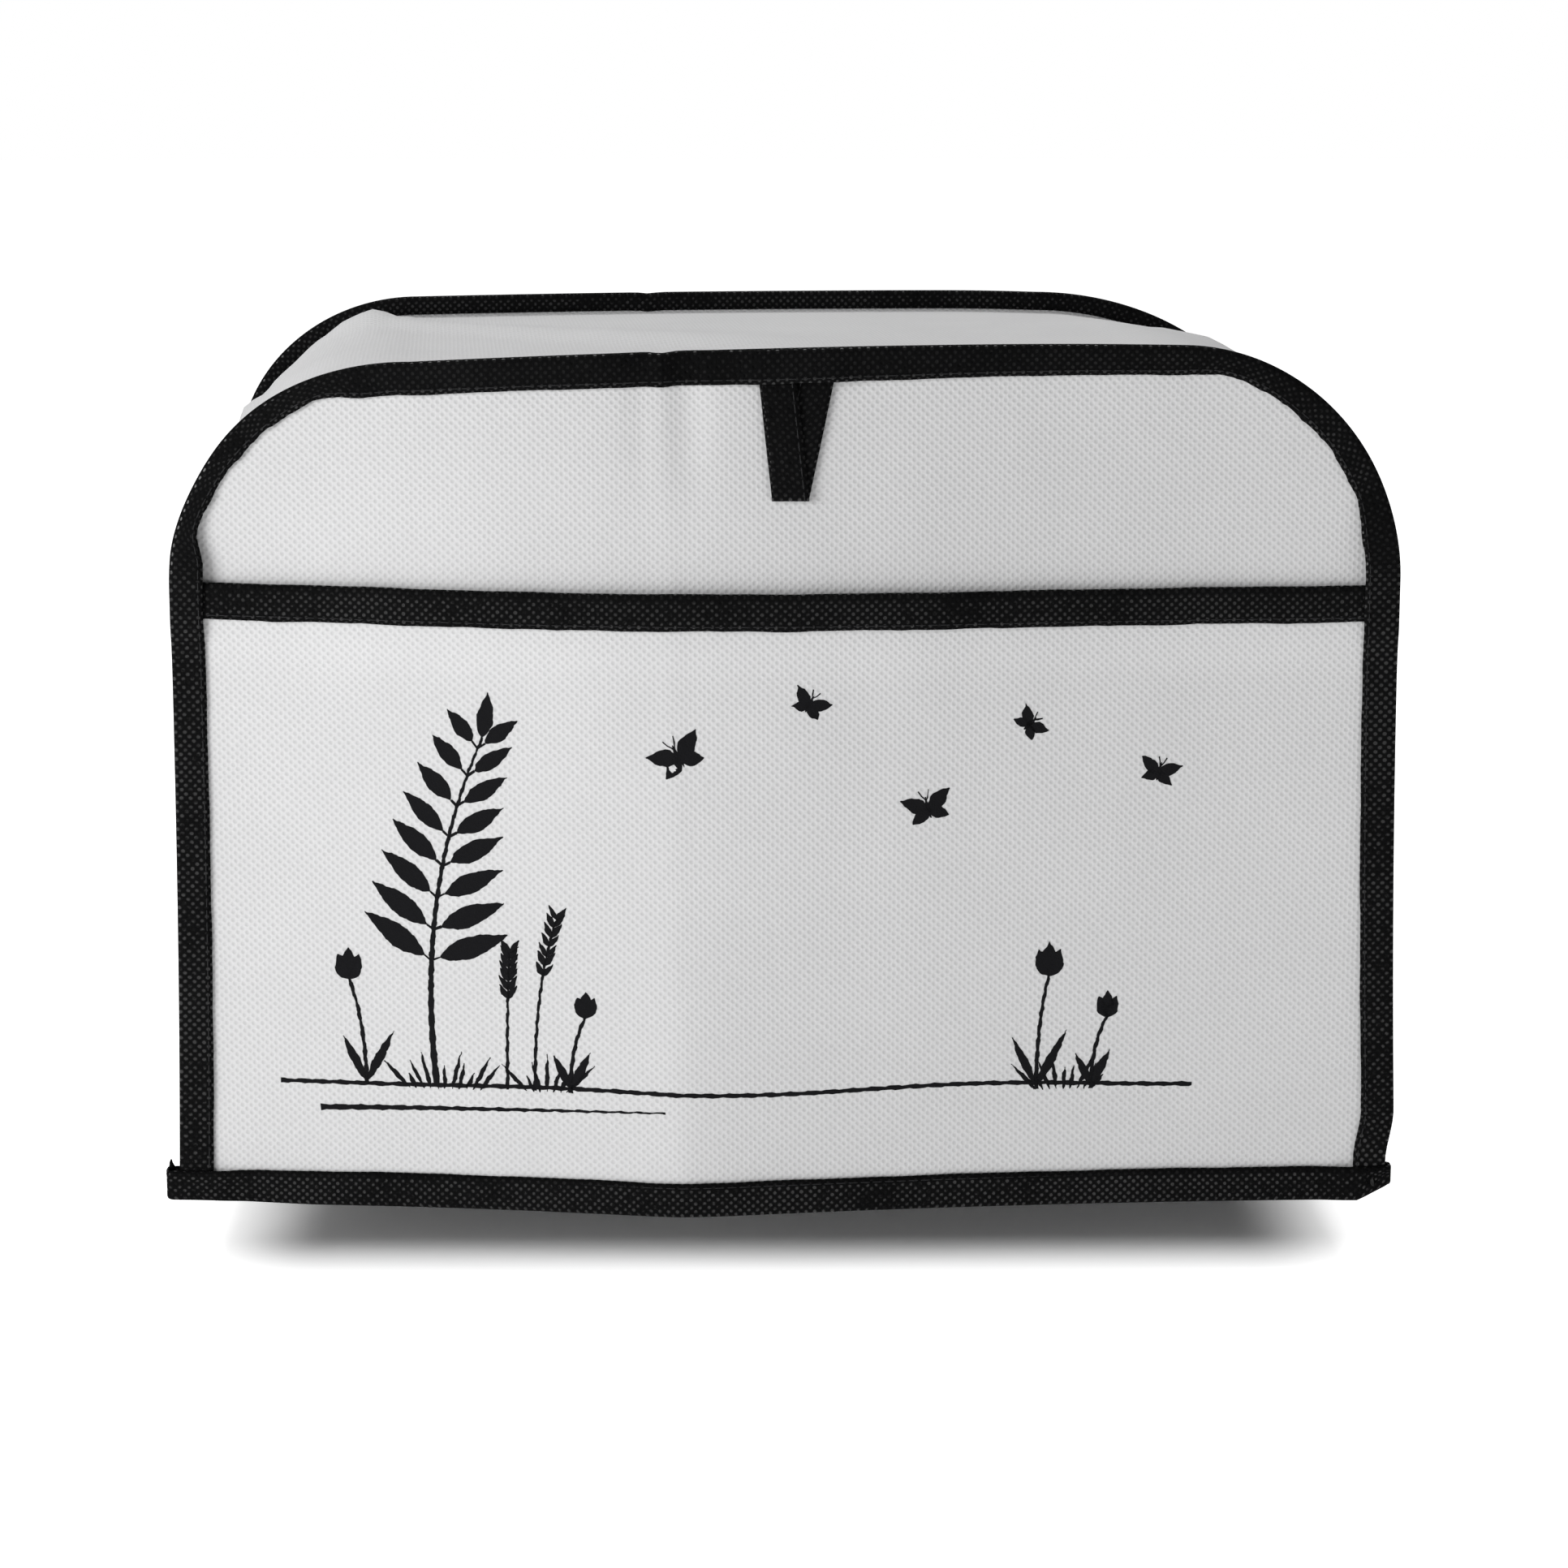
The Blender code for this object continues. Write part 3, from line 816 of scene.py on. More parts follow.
@dataclass
class Stitching:
    """Rows of machine stitches: one plump stitch is modelled, repeated and laid along its row."""

    room: Workroom
    length: float = 0.0024
    gap: float = 0.0007
    radius: float = 0.00015
    taper: float = 0.45
    proud: float = 0.00003
    sides: int = 6

    def model(self, name: str) -> bpy.types.Object:
        """Models one stitch along x from the origin, thinner at both ends.

        Args:
            name: The piece's name.

        Returns:
            The single stitch.
        """
        tip = self.length * 0.14
        bpy.ops.object.select_all(action="DESELECT")
        bpy.ops.mesh.primitive_cylinder_add(
            vertices=self.sides, radius=self.radius, depth=self.length - 2 * tip
        )
        piece = bpy.context.object
        piece.name = name
        piece.data.name = name
        bpy.ops.object.mode_set(mode="EDIT")
        bpy.ops.mesh.select_mode(type="FACE")
        for end in (-1, 1):
            bpy.ops.mesh.select_all(action="DESELECT")
            mesh = bmesh.from_edit_mesh(piece.data)
            for face in mesh.faces:
                face.select_set(face.normal.z * end > 0.9)
            bmesh.update_edit_mesh(piece.data)
            move = {"value": (0.0, 0.0, end * tip)}
            bpy.ops.mesh.extrude_region_move(TRANSFORM_OT_translate=move)
            bpy.ops.transform.resize(
                value=(self.taper, self.taper, 1.0), center_override=(0.0, 0.0, 0.0)
            )
        bpy.ops.mesh.select_all(action="SELECT")
        bpy.ops.transform.rotate(
            value=math.pi / 2, orient_axis="Y", center_override=(0.0, 0.0, 0.0)
        )
        bpy.ops.transform.translate(value=(self.length / 2, 0.0, 0.0))
        bpy.ops.object.mode_set(mode="OBJECT")
        return piece

    def guide(self, line: Line) -> bpy.types.Object:
        """Curve through the points of a row, a little outside the cloth's face."""
        data = bpy.data.curves.new("stitch_line", "CURVE")
        data.dimensions = "3D"
        spline = data.splines.new("POLY")
        spline.points.add(len(line) - 1)
        for target, (point, out) in zip(spline.points, line):
            target.co = (*placed(*(point + out * self.proud)), 1.0)
        guide = bpy.data.objects.new("stitch_line", data)
        bpy.context.scene.collection.objects.link(guide)
        return guide

    def row(self, name: str, line: Line) -> None:
        """Makes a row of stitches.

        Args:
            name: The piece's name.
            line: Points on the cloth's face, counted from the front seam and the hem, and ways out.
        """
        guide = self.guide(line)
        piece = self.model(name)
        repeat = piece.modifiers.new("Repeat", "ARRAY")
        repeat.fit_type = "FIT_CURVE"
        repeat.curve = guide
        repeat.use_relative_offset = False
        repeat.use_constant_offset = True
        repeat.constant_offset_displace = (self.length + self.gap, 0.0, 0.0)
        follow = piece.modifiers.new("Follow", "CURVE")
        follow.object = guide
        follow.deform_axis = "POS_X"
        bpy.ops.object.modifier_apply(modifier=repeat.name)
        bpy.ops.object.modifier_apply(modifier=follow.name)
        bpy.ops.object.shade_smooth()
        curve = guide.data
        bpy.data.objects.remove(guide)
        bpy.data.curves.remove(curve)
        self.room.dressed(piece, BLACK_THREAD.name)
        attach(piece, BODY)
        log.info("%s has %d faces", name, len(piece.data.polygons))


# Station along the back seam, and how far the side strip rolls out just in front of it
BACK_SWELL: tuple[Pair, ...] = (
    (0.85, 0.0),
    (1.05, 0.0062),
    (1.22, 0.0068),
    (1.34, 0.0026),
    (1.50, 0.0014),
    (1.64, 0.0022),
    (1.76, 0.0038),
    (1.85, 0.0044),
    (1.93, 0.0014),
    (2.05, 0.0),
    (3.20, 0.0),
    (3.26, 0.0007),
    (3.32, 0.0022),
    (3.38, 0.0042),
    (3.44, 0.0060),
    (3.50, 0.0070),
    (3.56, 0.0068),
    (3.64, 0.0052),
    (3.74, 0.0026),
    (3.84, 0.0008),
    (3.95, 0.0),
)


@dataclass
class Panels:
    """Front and back panels and the strip between them."""

    room: Workroom
    front_columns: tuple[int, int] = (26, 72)
    front_rows: int = 72
    back_columns: tuple[int, int] = (18, 48)
    back_rows: int = 48
    front_root: float = 0.0070
    back_root: float = 0.0064
    root_bend: float = 0.0015
    crown_billow: float = 0.0008
    left_shoulder_billow: float = 0.0030
    right_shoulder_billow: float = 0.0048
    side_billow: float = 0.0022
    left_roll: int = 12
    right_roll: int = 7

    def panel_shape(
        self,
        arch: Arch,
        stations: Sequence[float],
        rows: int,
        depth: Callable[[float, float, float], float],
        rising: bool,
    ) -> Shape:
        """Shape of a panel under an arch.

        Args:
            arch: The seam above it.
            stations: One for each column, where it meets the seam.
            rows: Faces from the foot to the seam.
            depth: Depth at x, height and layer.
            rising: Whether its foot follows the lifted corners.

        Returns:
            The shape.
        """

        def shape(column: int, row: int) -> Vector:
            top_x, top_height = arch.inset(stations[column], DRAPE.edge_inset)
            left = arch.inset(1.0, DRAPE.edge_inset)[0]
            right = arch.inset(4.0, DRAPE.edge_inset)[0]
            share = (top_x - left) / (right - left)
            inset = DRAPE.edge_inset
            low_x = mix(arch.left_x(0) + inset, arch.right_x(0) - inset, share)
            foot = DRAPE.foot_height(low_x) if rising else DRAPE.foot
            height = mix(foot, top_height, row / rows)
            x = mix(arch.left_x(height) + inset, arch.right_x(height) - inset, share)
            return Vector((x, depth(x, height, 0), height))

        return shape

    def front(self) -> None:
        """Makes the front panel."""
        shoulder, crown = self.front_columns
        stations = [s for s in seam_stations(1, shoulder, crown) if 1 <= s <= 4]
        shape = self.panel_shape(FRONT, stations, self.front_rows, DRAPE.front_y, True)
        piece = self.room.sheet(
            "front_cloth", WHITE_CLOTH, len(stations) - 1, self.front_rows, shape, Layout.BY_PLACE
        )
        self.room.stand_for(
            piece, "front_panel", Slot.WHITE, (0.306, 0.218), "hung", ["front_tape"], 0.0640
        )

    def back(self) -> None:
        """Makes the back panel."""
        shoulder, crown = self.back_columns
        stations = [s for s in seam_stations(1, shoulder, crown) if 1 <= s <= 4]
        shape = self.panel_shape(BACK, stations, self.back_rows, DRAPE.back_y, False)
        piece = self.room.sheet(
            "back_cloth", WHITE_CLOTH, len(stations) - 1, self.back_rows, shape, Layout.BY_PLACE
        )
        self.room.stand_for(
            piece, "back_panel", Slot.WHITE, (0.308, 0.218), "hung", ["back_tape"], 0.0642
        )

    def billow(self, station: float, share: float) -> float:
        """How far the strip stands out between its seams."""
        side = math.sin(math.pi * station) ** 2 if station < 1 or station > 4 else 0.0
        amount = self.crown_billow * bell(station, 2.5, 1.4) + self.side_billow * side
        amount += self.left_shoulder_billow * bell(station, 1.65, 0.6)
        amount += self.right_shoulder_billow * bell(station, 3.40, 0.6)
        uneven = 0.0003 * wander(station * 7, 2.2) * wander(share * 5, 0.7)
        return (amount + uneven) * math.sin(math.pi * share)

    def swell(self, station: float, share: float) -> float:
        """Roll of cloth that stands up along the back seam and hides part of its tape."""
        left = station < 2.5
        power = self.left_roll if left else self.right_roll
        # Greatest value of share**power * (1 - share), so that the table gives the roll's height
        peak = 0.02944 if left else 0.04909
        return from_table(BACK_SWELL, station) * share**power * (1 - share) / peak

    def fold(self, station: float, share: float) -> float:
        """Soft fold that runs over the top from the left rear towards the middle."""
        line = mix(0.84, 0.42, ramp(station, 1.82, 2.62))
        reach = mix(0.10, 0.20, ramp(station, 1.82, 2.62))
        fade = ramp(station, 1.60, 1.85) * (1 - ramp(station, 2.35, 2.75))
        return 0.0016 * fade * bell(share, line, reach)

    def strip(self) -> None:
        """Makes the strip of the left side, the top and the right side, turned into both seams."""
        stations = seam_stations(26, 26, 60)
        inner_rows = 64
        flange_rows = 3
        rows = inner_rows + 2 * flange_rows

        def flange(arch: Arch, station: float, root: float, row: int, front: bool) -> Vector:
            bend = self.root_bend
            inset = (DRAPE.edge_inset, root - bend, root - bend * 0.3, root)[row]
            turn = (0.0, 0.0, bend * 0.3, bend)[row]
            x, height = arch.inset(station, inset)
            height = max(height, DRAPE.foot_height(x) if front else DRAPE.foot)
            if front:
                return Vector((x, DRAPE.front_y(x, height, -1) + turn, height))
            return Vector((x, DRAPE.back_y(x, height, -1) - turn, height))

        def shape(column: int, row: int) -> Vector:
            station = stations[column]
            if row <= flange_rows:
                return flange(FRONT, station, self.front_root, row, True)
            if row >= rows - flange_rows:
                return flange(BACK, station, self.back_root, rows - row, False)
            share = (row - flange_rows) / inner_rows
            near = flange(FRONT, station, self.front_root, flange_rows, True)
            far = flange(BACK, station, self.back_root, flange_rows, False)
            away_x, away_height = FRONT.outward(station)
            out = self.billow(station, share) + self.fold(station, share)
            out += self.swell(station, share)
            point = near.lerp(far, share)
            return point + Vector((away_x * out, 0.0, away_height * out))

        piece = self.room.sheet(
            "side_strip", WHITE_CLOTH, len(stations) - 1, rows, shape, Layout.BY_LENGTH
        )
        self.room.stand_for(
            piece, "gusset", Slot.WHITE, (0.205, 0.66), "hung", ["front_tape", "back_tape"], 0.1321
        )


@dataclass
class Pocket:
    """Front pocket with the band along its mouth."""

    room: Workroom
    columns: int = 110
    rows: int = 60
    stitch_steps: int = 400
    stitch_inset: float = 0.0011

    def share(self, column: int) -> float:
        """Where a column stands between the sides, a little closer together near them."""
        even = column / self.columns
        return mix(even, ramp(even, 0.0, 1.0), 0.3)

    def side_x(self, share: float, height: float) -> float:
        """x at a share of the width, at a height."""
        inset = DRAPE.edge_inset
        return mix(FRONT.left_x(height) + inset, FRONT.right_x(height) - inset, share)

    def panel(self) -> None:
        """Makes the pocket's cloth."""

        def shape(column: int, row: int) -> Vector:
            low_x = self.side_x(self.share(column), 0.0)
            top = DRAPE.mouth_height(low_x) - DRAPE.layer / 2 - DRAPE.cloth
            height = mix(DRAPE.foot_height(low_x), top, row / self.rows)
            x = self.side_x(self.share(column), height)
            y = DRAPE.front_y(x, height, 1) - DRAPE.pocket_lift(x, height)
            return Vector((x, y, height))

        piece = self.room.sheet(
            "pocket_cloth", WHITE_CLOTH, self.columns, self.rows, shape, Layout.BY_PLACE
        )
        self.room.stand_for(
            piece, "pocket_panel", Slot.WHITE, (0.307, 0.159), "hung", ["pocket_band"], 0.0477
        )

    def band(self) -> None:
        """Makes the tape folded over the pocket's mouth."""
        cloth, layer, width = DRAPE.cloth, DRAPE.layer, DRAPE.band_width
        # Layers in front of the pocket, and depth below the mouth
        profile = (
            (1.0, width),
            (1.0, width * 0.75),
            (1.0, width * 0.5),
            (1.0, width * 0.25),
            (1.0, layer + cloth / 2),
            (0.7, cloth / 2 + layer * 0.3),
            (0.0, cloth / 2),
            (-0.7, cloth / 2 + layer * 0.3),
            (-1.0, layer + cloth / 2),
            (-1.0, width - 0.0006),
        )

        def shape(column: int, row: int) -> Vector:
            share = self.share(column)
            layers, below = profile[row]
            uneven = 0.00018 * wander(share * 60, 3.1) if below > width / 2 else 0.0
            x = mix(-FRONT.left_side, FRONT.right_side, share)
            height = DRAPE.mouth_height(x) - below - uneven + 0.00012 * wander(share * 45, 1.1)
            x = self.side_x(share, height)
            lift = DRAPE.pocket_lift(x, min(height, DRAPE.mouth_height(x) - 0.001))
            return Vector((x, DRAPE.front_y(x, height, 1 + layers) - lift, height))

        piece = self.room.sheet(
            "pocket_band", BLACK_CLOTH, self.columns, len(profile) - 1, shape, Layout.BY_LENGTH
        )
        self.room.stand_for(
            piece, "pocket_binding", Slot.BLACK, (0.0181, 0.307), "folded", ["pocket_cloth"], 0.0055
        )
        line: Line = []
        for index in range(self.stitch_steps + 1):
            share = mix(0.03, 0.97, index / self.stitch_steps)
            x = mix(-FRONT.left_side, FRONT.right_side, share)
            height = DRAPE.mouth_height(x) - width + self.stitch_inset
            y = DRAPE.front_y(x, height, 2) - DRAPE.pocket_lift(x, height) - cloth / 2
            line.append((Vector((x, y, height)), Vector((0.0, -1.0, 0.0))))
        Stitching(self.room).row("pocket_band_stitches", line)


@dataclass
class SeamTape:
    """Tape folded over the flange of a seam, gathered a little where it rounds a shoulder."""

    room: Workroom
    name: str
    node: str
    arch: Arch
    stations: Sequence[float]
    width: Callable[[float], float]
    depth: Callable[[float, float, float], float]
    near: Callable[[float, float], float]
    rising: bool
    pucker: float
    flat: Pair
    area: float
    crease_station: float
    outward: Vector
    fold_radius: float = 0.0006
    far_leg: float = 0.0052
    stitch_inset: float = 0.0011
    stitch_steps: int = 900

    def crease_mark(self, station: float) -> float:
        """Small nick where the packing crease crosses the tape."""
        return 0.00035 * bell(station, self.crease_station, 0.022)

    def stitch_line(self) -> Line:
        """Where the stitches run: points on the face of the near leg, with the way out."""
        line: Line = []
        for index in range(self.stitch_steps + 1):
            station = mix(0.06, 4.94, index / self.stitch_steps)
            inset = self.width(station) - self.stitch_inset
            x, height = self.arch.inset(station, inset)
            lift = self.near(x, height) + DRAPE.cloth / 2 / DRAPE.layer
            lift += self.crumple(station, 0.85) / DRAPE.layer
            line.append((Vector((x, self.depth(x, height, lift), height)), self.outward))
        return line

    def crumple(self, station: float, share: float) -> float:
        """Height of the gathers: none at the fold, most at the inner edge of the shoulders."""
        shoulder = bell(station, 1.45, 0.75) + bell(station, 3.55, 0.75)
        strength = 0.25 + shoulder
        return self.pucker * strength * max(wander(station * 42, 5.3), 0.0) * share**2

    def edge_step(self, station: float) -> float:
        """Unevenness of the tape's inner edge."""
        shoulder = bell(station, 1.5, 0.7) + bell(station, 3.5, 0.7)
        return (0.00012 + 0.00028 * shoulder) * wander(station * 31, 7.7)

    def shape(self, column: int, row: int) -> Vector:
        """Place of a column along the seam and a row across the tape."""
        cloth, layer, radius = DRAPE.cloth, DRAPE.layer, self.fold_radius
        station = self.stations[column]
        width = self.width(station) + self.edge_step(station)
        outer = cloth / 2 + radius
        # Inset, share of the way from the near leg to the far leg, and the same again as a length
        inset, share, turn = (
            (width, 0.0, 0.0),
            (mix(width, outer, 0.2), 0.0, 0.0),
            (mix(width, outer, 0.4), 0.0, 0.0),
            (mix(width, outer, 0.6), 0.0, 0.0),
            (mix(width, outer, 0.8), 0.0, 0.0),
            (outer, 0.0, 0.0),
            (cloth / 2 + radius * 0.3, 0.0, radius * 0.3),
            (cloth / 2, 0.0, radius),
            (cloth / 2, 1.0, -radius),
            (cloth / 2 + radius * 0.3, 1.0, -radius * 0.3),
            (outer, 1.0, 0.0),
            (self.far_leg, 1.0, 0.0),
        )[row]
        x, height = self.arch.inset(station, inset + self.crease_mark(station))
        height = max(height, DRAPE.foot_height(x) if self.rising else DRAPE.foot)
        start, end = self.near(x, height), -2.0
        lift = 0.0
        if row < 5:
            lift = self.crumple(station, (inset - outer) / (width - outer)) / layer
        layers = mix(start + lift, end, share) + turn / layer * (1 if end > start else -1)
        return Vector((x, self.depth(x, height, layers), height))

    def build(self) -> None:
        """Makes the tape and its stitches."""
        Stitching(self.room).row(self.name + "_stitches", self.stitch_line())
        piece = self.room.sheet(
            self.name, BLACK_CLOTH, len(self.stations) - 1, 11, self.shape, Layout.BY_LENGTH
        )
        self.room.stand_for(
            piece, self.node, Slot.BLACK, self.flat, "folded", ["side_strip"], self.area
        )


# Station along the front seam, and how far the tape reaches in from its outer edge
FRONT_TAPE_WIDTHS: tuple[Pair, ...] = (
    (0.00, 0.0088),
    (0.98, 0.0084),
    (1.14, 0.0053),
    (1.50, 0.0060),
    (1.73, 0.0055),
    (1.90, 0.0080),
    (2.50, 0.0084),
    (2.95, 0.0074),
    (3.18, 0.0062),
    (3.40, 0.0071),
    (3.72, 0.0074),
    (3.90, 0.0088),
    (5.00, 0.0084),
)


@dataclass
class Hem:
    """Tape folded over the bottom edge, once round the cover."""

    room: Workroom
    width: float = 0.0092
    corner: float = 0.0012
    left_poke: float = 0.0020
    back_poke: float = 0.0004
    front_root: float = 0.0070
    back_root: float = 0.0064
    fold_radius: float = 0.0006
    front_steps: int = 110
    back_steps: int = 50
    side_steps: int = 24

    def bend(
        self, before: Vector, corner: Vector, after: Vector, radius: float, steps: int = 4
    ) -> list[Vector]:
        """Rounded corner of a plan line.

        Args:
            before: Point before the corner.
            corner: The corner itself.
            after: Point after it.
            radius: Distance from the corner to each tangent point.
            steps: Straight steps round it.

        Returns:
            The points from one tangent point to the other.
        """
        start = corner + (before - corner).normalized() * radius
        end = corner + (after - corner).normalized() * radius
        points = []
        for step in range(steps + 1):
            share = step / steps
            points.append(start.lerp(corner, share).lerp(corner.lerp(end, share), share))
        return points

    def corner_plan(self, arch: Arch, side: int, front: bool) -> tuple[list[Vector], list[Vector]]:
        """Plan points round a flange's foot, from the panel to the side.

        Args:
            arch: The seam that ends there.
            side: -1 for left, 1 for right.
            front: Whether it is the front seam.

        Returns:
            The outer leg's points and the inner leg's.
        """
        layer, cloth = DRAPE.layer, DRAPE.cloth
        edge_x = arch.left_x if side < 0 else arch.right_x
        root = self.front_root if front else self.back_root
        poke = (self.left_poke if side < 0 else 0.0) if front else self.back_poke
        depth = DRAPE.front_y if front else DRAPE.back_y
        end_x = edge_x(0.0) + side * (layer - cloth / 2 + poke + 0.0003)
        wall_x = edge_x(0.0) - side * (root - layer)
        inner_x = edge_x(self.width) - side * (root + layer)
        outer_y = depth(edge_x(0.0), 0.0, 3 if front else 2)
        behind_y = depth(edge_x(0.0), 0.0, -3)
        inner_y = depth(inner_x, 0.0, -1)
        middle_y = DEPTH / 2
        first = Vector((end_x, outer_y))
        second = Vector((end_x, behind_y))
        third = Vector((wall_x, behind_y))
        outer = self.bend(Vector((0.0, outer_y)), first, second, self.corner)
        outer += self.bend(first, second, third, self.corner)
        outer += self.bend(second, third, Vector((wall_x, middle_y)), self.corner)
        inner = self.bend(
            Vector((0.0, inner_y)),
            Vector((inner_x, inner_y)),
            Vector((inner_x, middle_y)),
            0.003,
            len(outer) - 1,
        )
        return outer, inner

    def panel_run(
        self, start: tuple[Vector, Vector], end: tuple[Vector, Vector], front: bool
    ) -> Plan:
        """Plan pairs between two flange corners, following the panel between them.

        Args:
            start: Outer and inner point of the corner before.
            end: Outer and inner point of the corner after.
            front: Whether it is the front.

        Returns:
            Pairs of outer and inner points.
        """
        steps = self.front_steps if front else self.back_steps
        depth = DRAPE.front_y if front else DRAPE.back_y
        arch = FRONT if front else BACK
        pairs: Plan = []
        for step in range(1, steps):
            share = mix(step / steps, ramp(step / steps, 0.0, 1.0), 0.6)
            outer_x = mix(start[0].x, end[0].x, share)
            inner_x = mix(start[1].x, end[1].x, share)
            near_side = min(outer_x - arch.left_x(0.0), arch.right_x(0.0) - outer_x)
            layers = (2 if front else 1) + 1 - ramp(near_side, 0.0098, 0.0160)
            outer = Vector((outer_x, depth(outer_x, 0.0, layers)))
            pairs.append((outer, Vector((inner_x, depth(inner_x, 0.0, -1)))))
        return pairs

    def side_run(self, start: tuple[Vector, Vector], end: tuple[Vector, Vector]) -> Plan:
        """Plan pairs along a side, between the flanges."""
        shares = [step / self.side_steps for step in range(1, self.side_steps)]
        return [(start[0].lerp(end[0], share), start[1].lerp(end[1], share)) for share in shares]

    def plan(self) -> Plan:
        """Outer and inner plan points, once round from the left front corner."""
        left_front = self.corner_plan(FRONT, -1, True)
        right_front = self.corner_plan(FRONT, 1, True)
        left_back = self.corner_plan(BACK, -1, False)
        right_back = self.corner_plan(BACK, 1, False)
        pairs: Plan = list(zip(*left_front))[::-1]
        right_pairs = list(zip(*right_front))
        pairs += self.panel_run(pairs[-1], right_pairs[0], True) + right_pairs
        back_pairs = list(zip(*right_back))[::-1]
        pairs += self.side_run(pairs[-1], back_pairs[0]) + back_pairs
        left_pairs = list(zip(*left_back))
        pairs += self.panel_run(pairs[-1], left_pairs[0], False) + left_pairs
        pairs += self.side_run(pairs[-1], pairs[0])
        return pairs + [pairs[0]]

    def frayed_end(self) -> None:
        """Makes the sliver of cut tape that sticks up at the left front corner."""
        outer, _ = self.corner_plan(FRONT, -1, True)
        corner = outer[len(outer) // 3]
        top = self.width - 0.0004
        # Steps right of the corner for both sides of the sliver, and height above the hem's edge
        outline = (
            (0.0, 0.0019, -0.0012),
            (0.0001, 0.0015, 0.0004),
            (0.0002, 0.0010, 0.0014),
            (0.0005, 0.0008, 0.0022),
        )

        def shape(column: int, row: int) -> Vector:
            step, height = outline[row][column], top + outline[row][2]
            return Vector((corner.x + step, corner.y, height))

        piece = self.room.sheet(
            "frayed_end", BLACK_CLOTH, 1, len(outline) - 1, shape, Layout.BY_LENGTH
        )
        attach(piece, BODY)

    def build(self) -> None:
        """Makes the hem."""
        plan = self.plan()
        cloth, radius, width = DRAPE.cloth, self.fold_radius, self.width
        bottom = cloth / 2
        # Step across from the outer leg to the inner one, the same again as a length, then height
        profile = (
            (0.0, 0.0, width - cloth / 2),
            (0.0, 0.0, width * 0.75),
            (0.0, 0.0, width * 0.5),
            (0.0, 0.0, width * 0.25),
            (0.0, 0.0, bottom + radius),
            (0.0, radius * 0.3, bottom + radius * 0.3),
            (0.0, radius, bottom),
            (1.0, -radius, bottom),
            (1.0, 0.0, bottom + radius),
            (1.0, 0.0, width - 0.0012),
        )
        count = len(plan) - 1

        def shape(column: int, row: int) -> Vector:
            outer, inner = plan[column]
            share, step, height = profile[row]
            place = outer.lerp(inner, share)
            if step:
                place = place + (inner - outer).normalized() * step
            rise = 0.0
            turn = 2 * math.pi * column / count
            if place.y < 0.006:
                rise = DRAPE.corner_rise(place.x) * (1 - ramp(height, 0.002, width))
            if share == 0.0 and height > width / 2:
                rise += 0.00014 * wander(turn * 19, 1.9)
            return Vector((place.x, place.y, height + rise))

        line: Line = []
        for outer, inner in plan:
            out = (outer - inner).normalized()
            place = outer + out * cloth / 2
            rise = DRAPE.corner_rise(place.x) * 0.1 if place.y < 0.006 else 0.0
            spot = Vector((place.x, place.y, width - cloth / 2 - 0.0012 + rise))
            line.append((spot, Vector((out.x, out.y, 0.0))))
        Stitching(self.room).row("hem_stitches", line)
        self.frayed_end()
        piece = self.room.sheet(
            "hem_tape", BLACK_CLOTH, count, len(profile) - 1, shape, Layout.BY_LENGTH, closed=True
        )
        self.room.stand_for(
            piece, "hem_binding", Slot.BLACK, (0.0185, 1.01), "folded", ["side_strip"], 0.0182
        )


@dataclass
class HangLoop:
    """Stitched tape folded in two that hangs from the front seam."""

    room: Workroom
    width: float = 0.0092
    front_top: Pair = (-0.0020, 0.2145)
    back_top: Pair = (0.0084, 0.2145)
    fold: Pair = (0.0015, 0.1822)
    leg_rows: int = 26
    fold_rows: int = 6
    columns: int = 8

    def shape(self, column: int, row: int) -> Vector:
        """Place of a column across the tape and a row along it."""
        rows = 2 * self.leg_rows + self.fold_rows
        drop = 0.0
        if row <= self.leg_rows:
            share, layers, top = row / self.leg_rows, 2.0, self.front_top
        elif row >= self.leg_rows + self.fold_rows:
            share, layers, top = (rows - row) / self.leg_rows, 1.0, self.back_top
        else:
            turn = math.pi * (row - self.leg_rows) / self.fold_rows
            share, layers, top = 1.0, 1.5 + 0.5 * math.cos(turn), self.front_top
            drop = DRAPE.layer / 2 * math.sin(turn)
        across = column / self.columns - 0.5
        middle = mix(top[0], self.fold[0], share)
        height = mix(top[1], self.fold[1], share) - drop
        hollow = 0.0003 * (1 - (2 * across) ** 2) * bell(share, 0.55, 0.45)
        x = middle + self.width * across
        return Vector((x, DRAPE.front_y(middle, height, layers) - hollow, height))

    def build(self) -> None:
        """Makes the loop."""
        rows = 2 * self.leg_rows + self.fold_rows
        edges = ((self.columns - 1, 0, self.leg_rows), (1, self.leg_rows + self.fold_rows, rows))
        for number, (column, start, end) in enumerate(edges, 1):
            line: Line = []
            for row in range(start, end + 1):
                spot = self.shape(column, row) - Vector((0.0, DRAPE.cloth / 2, 0.0))
                line.append((spot, Vector((0.0, -1.0, 0.0))))
            Stitching(self.room).row(f"loop_stitches_{number}", line)
        piece = self.room.sheet(
            "loop_tape", BLACK_CLOTH, self.columns, rows, self.shape, Layout.BY_LENGTH
        )
        self.room.stand_for(
            piece, "hang_loop", Slot.BLACK, (0.0100, 0.0665), "hung", ["front_tape"], 0.00061
        )


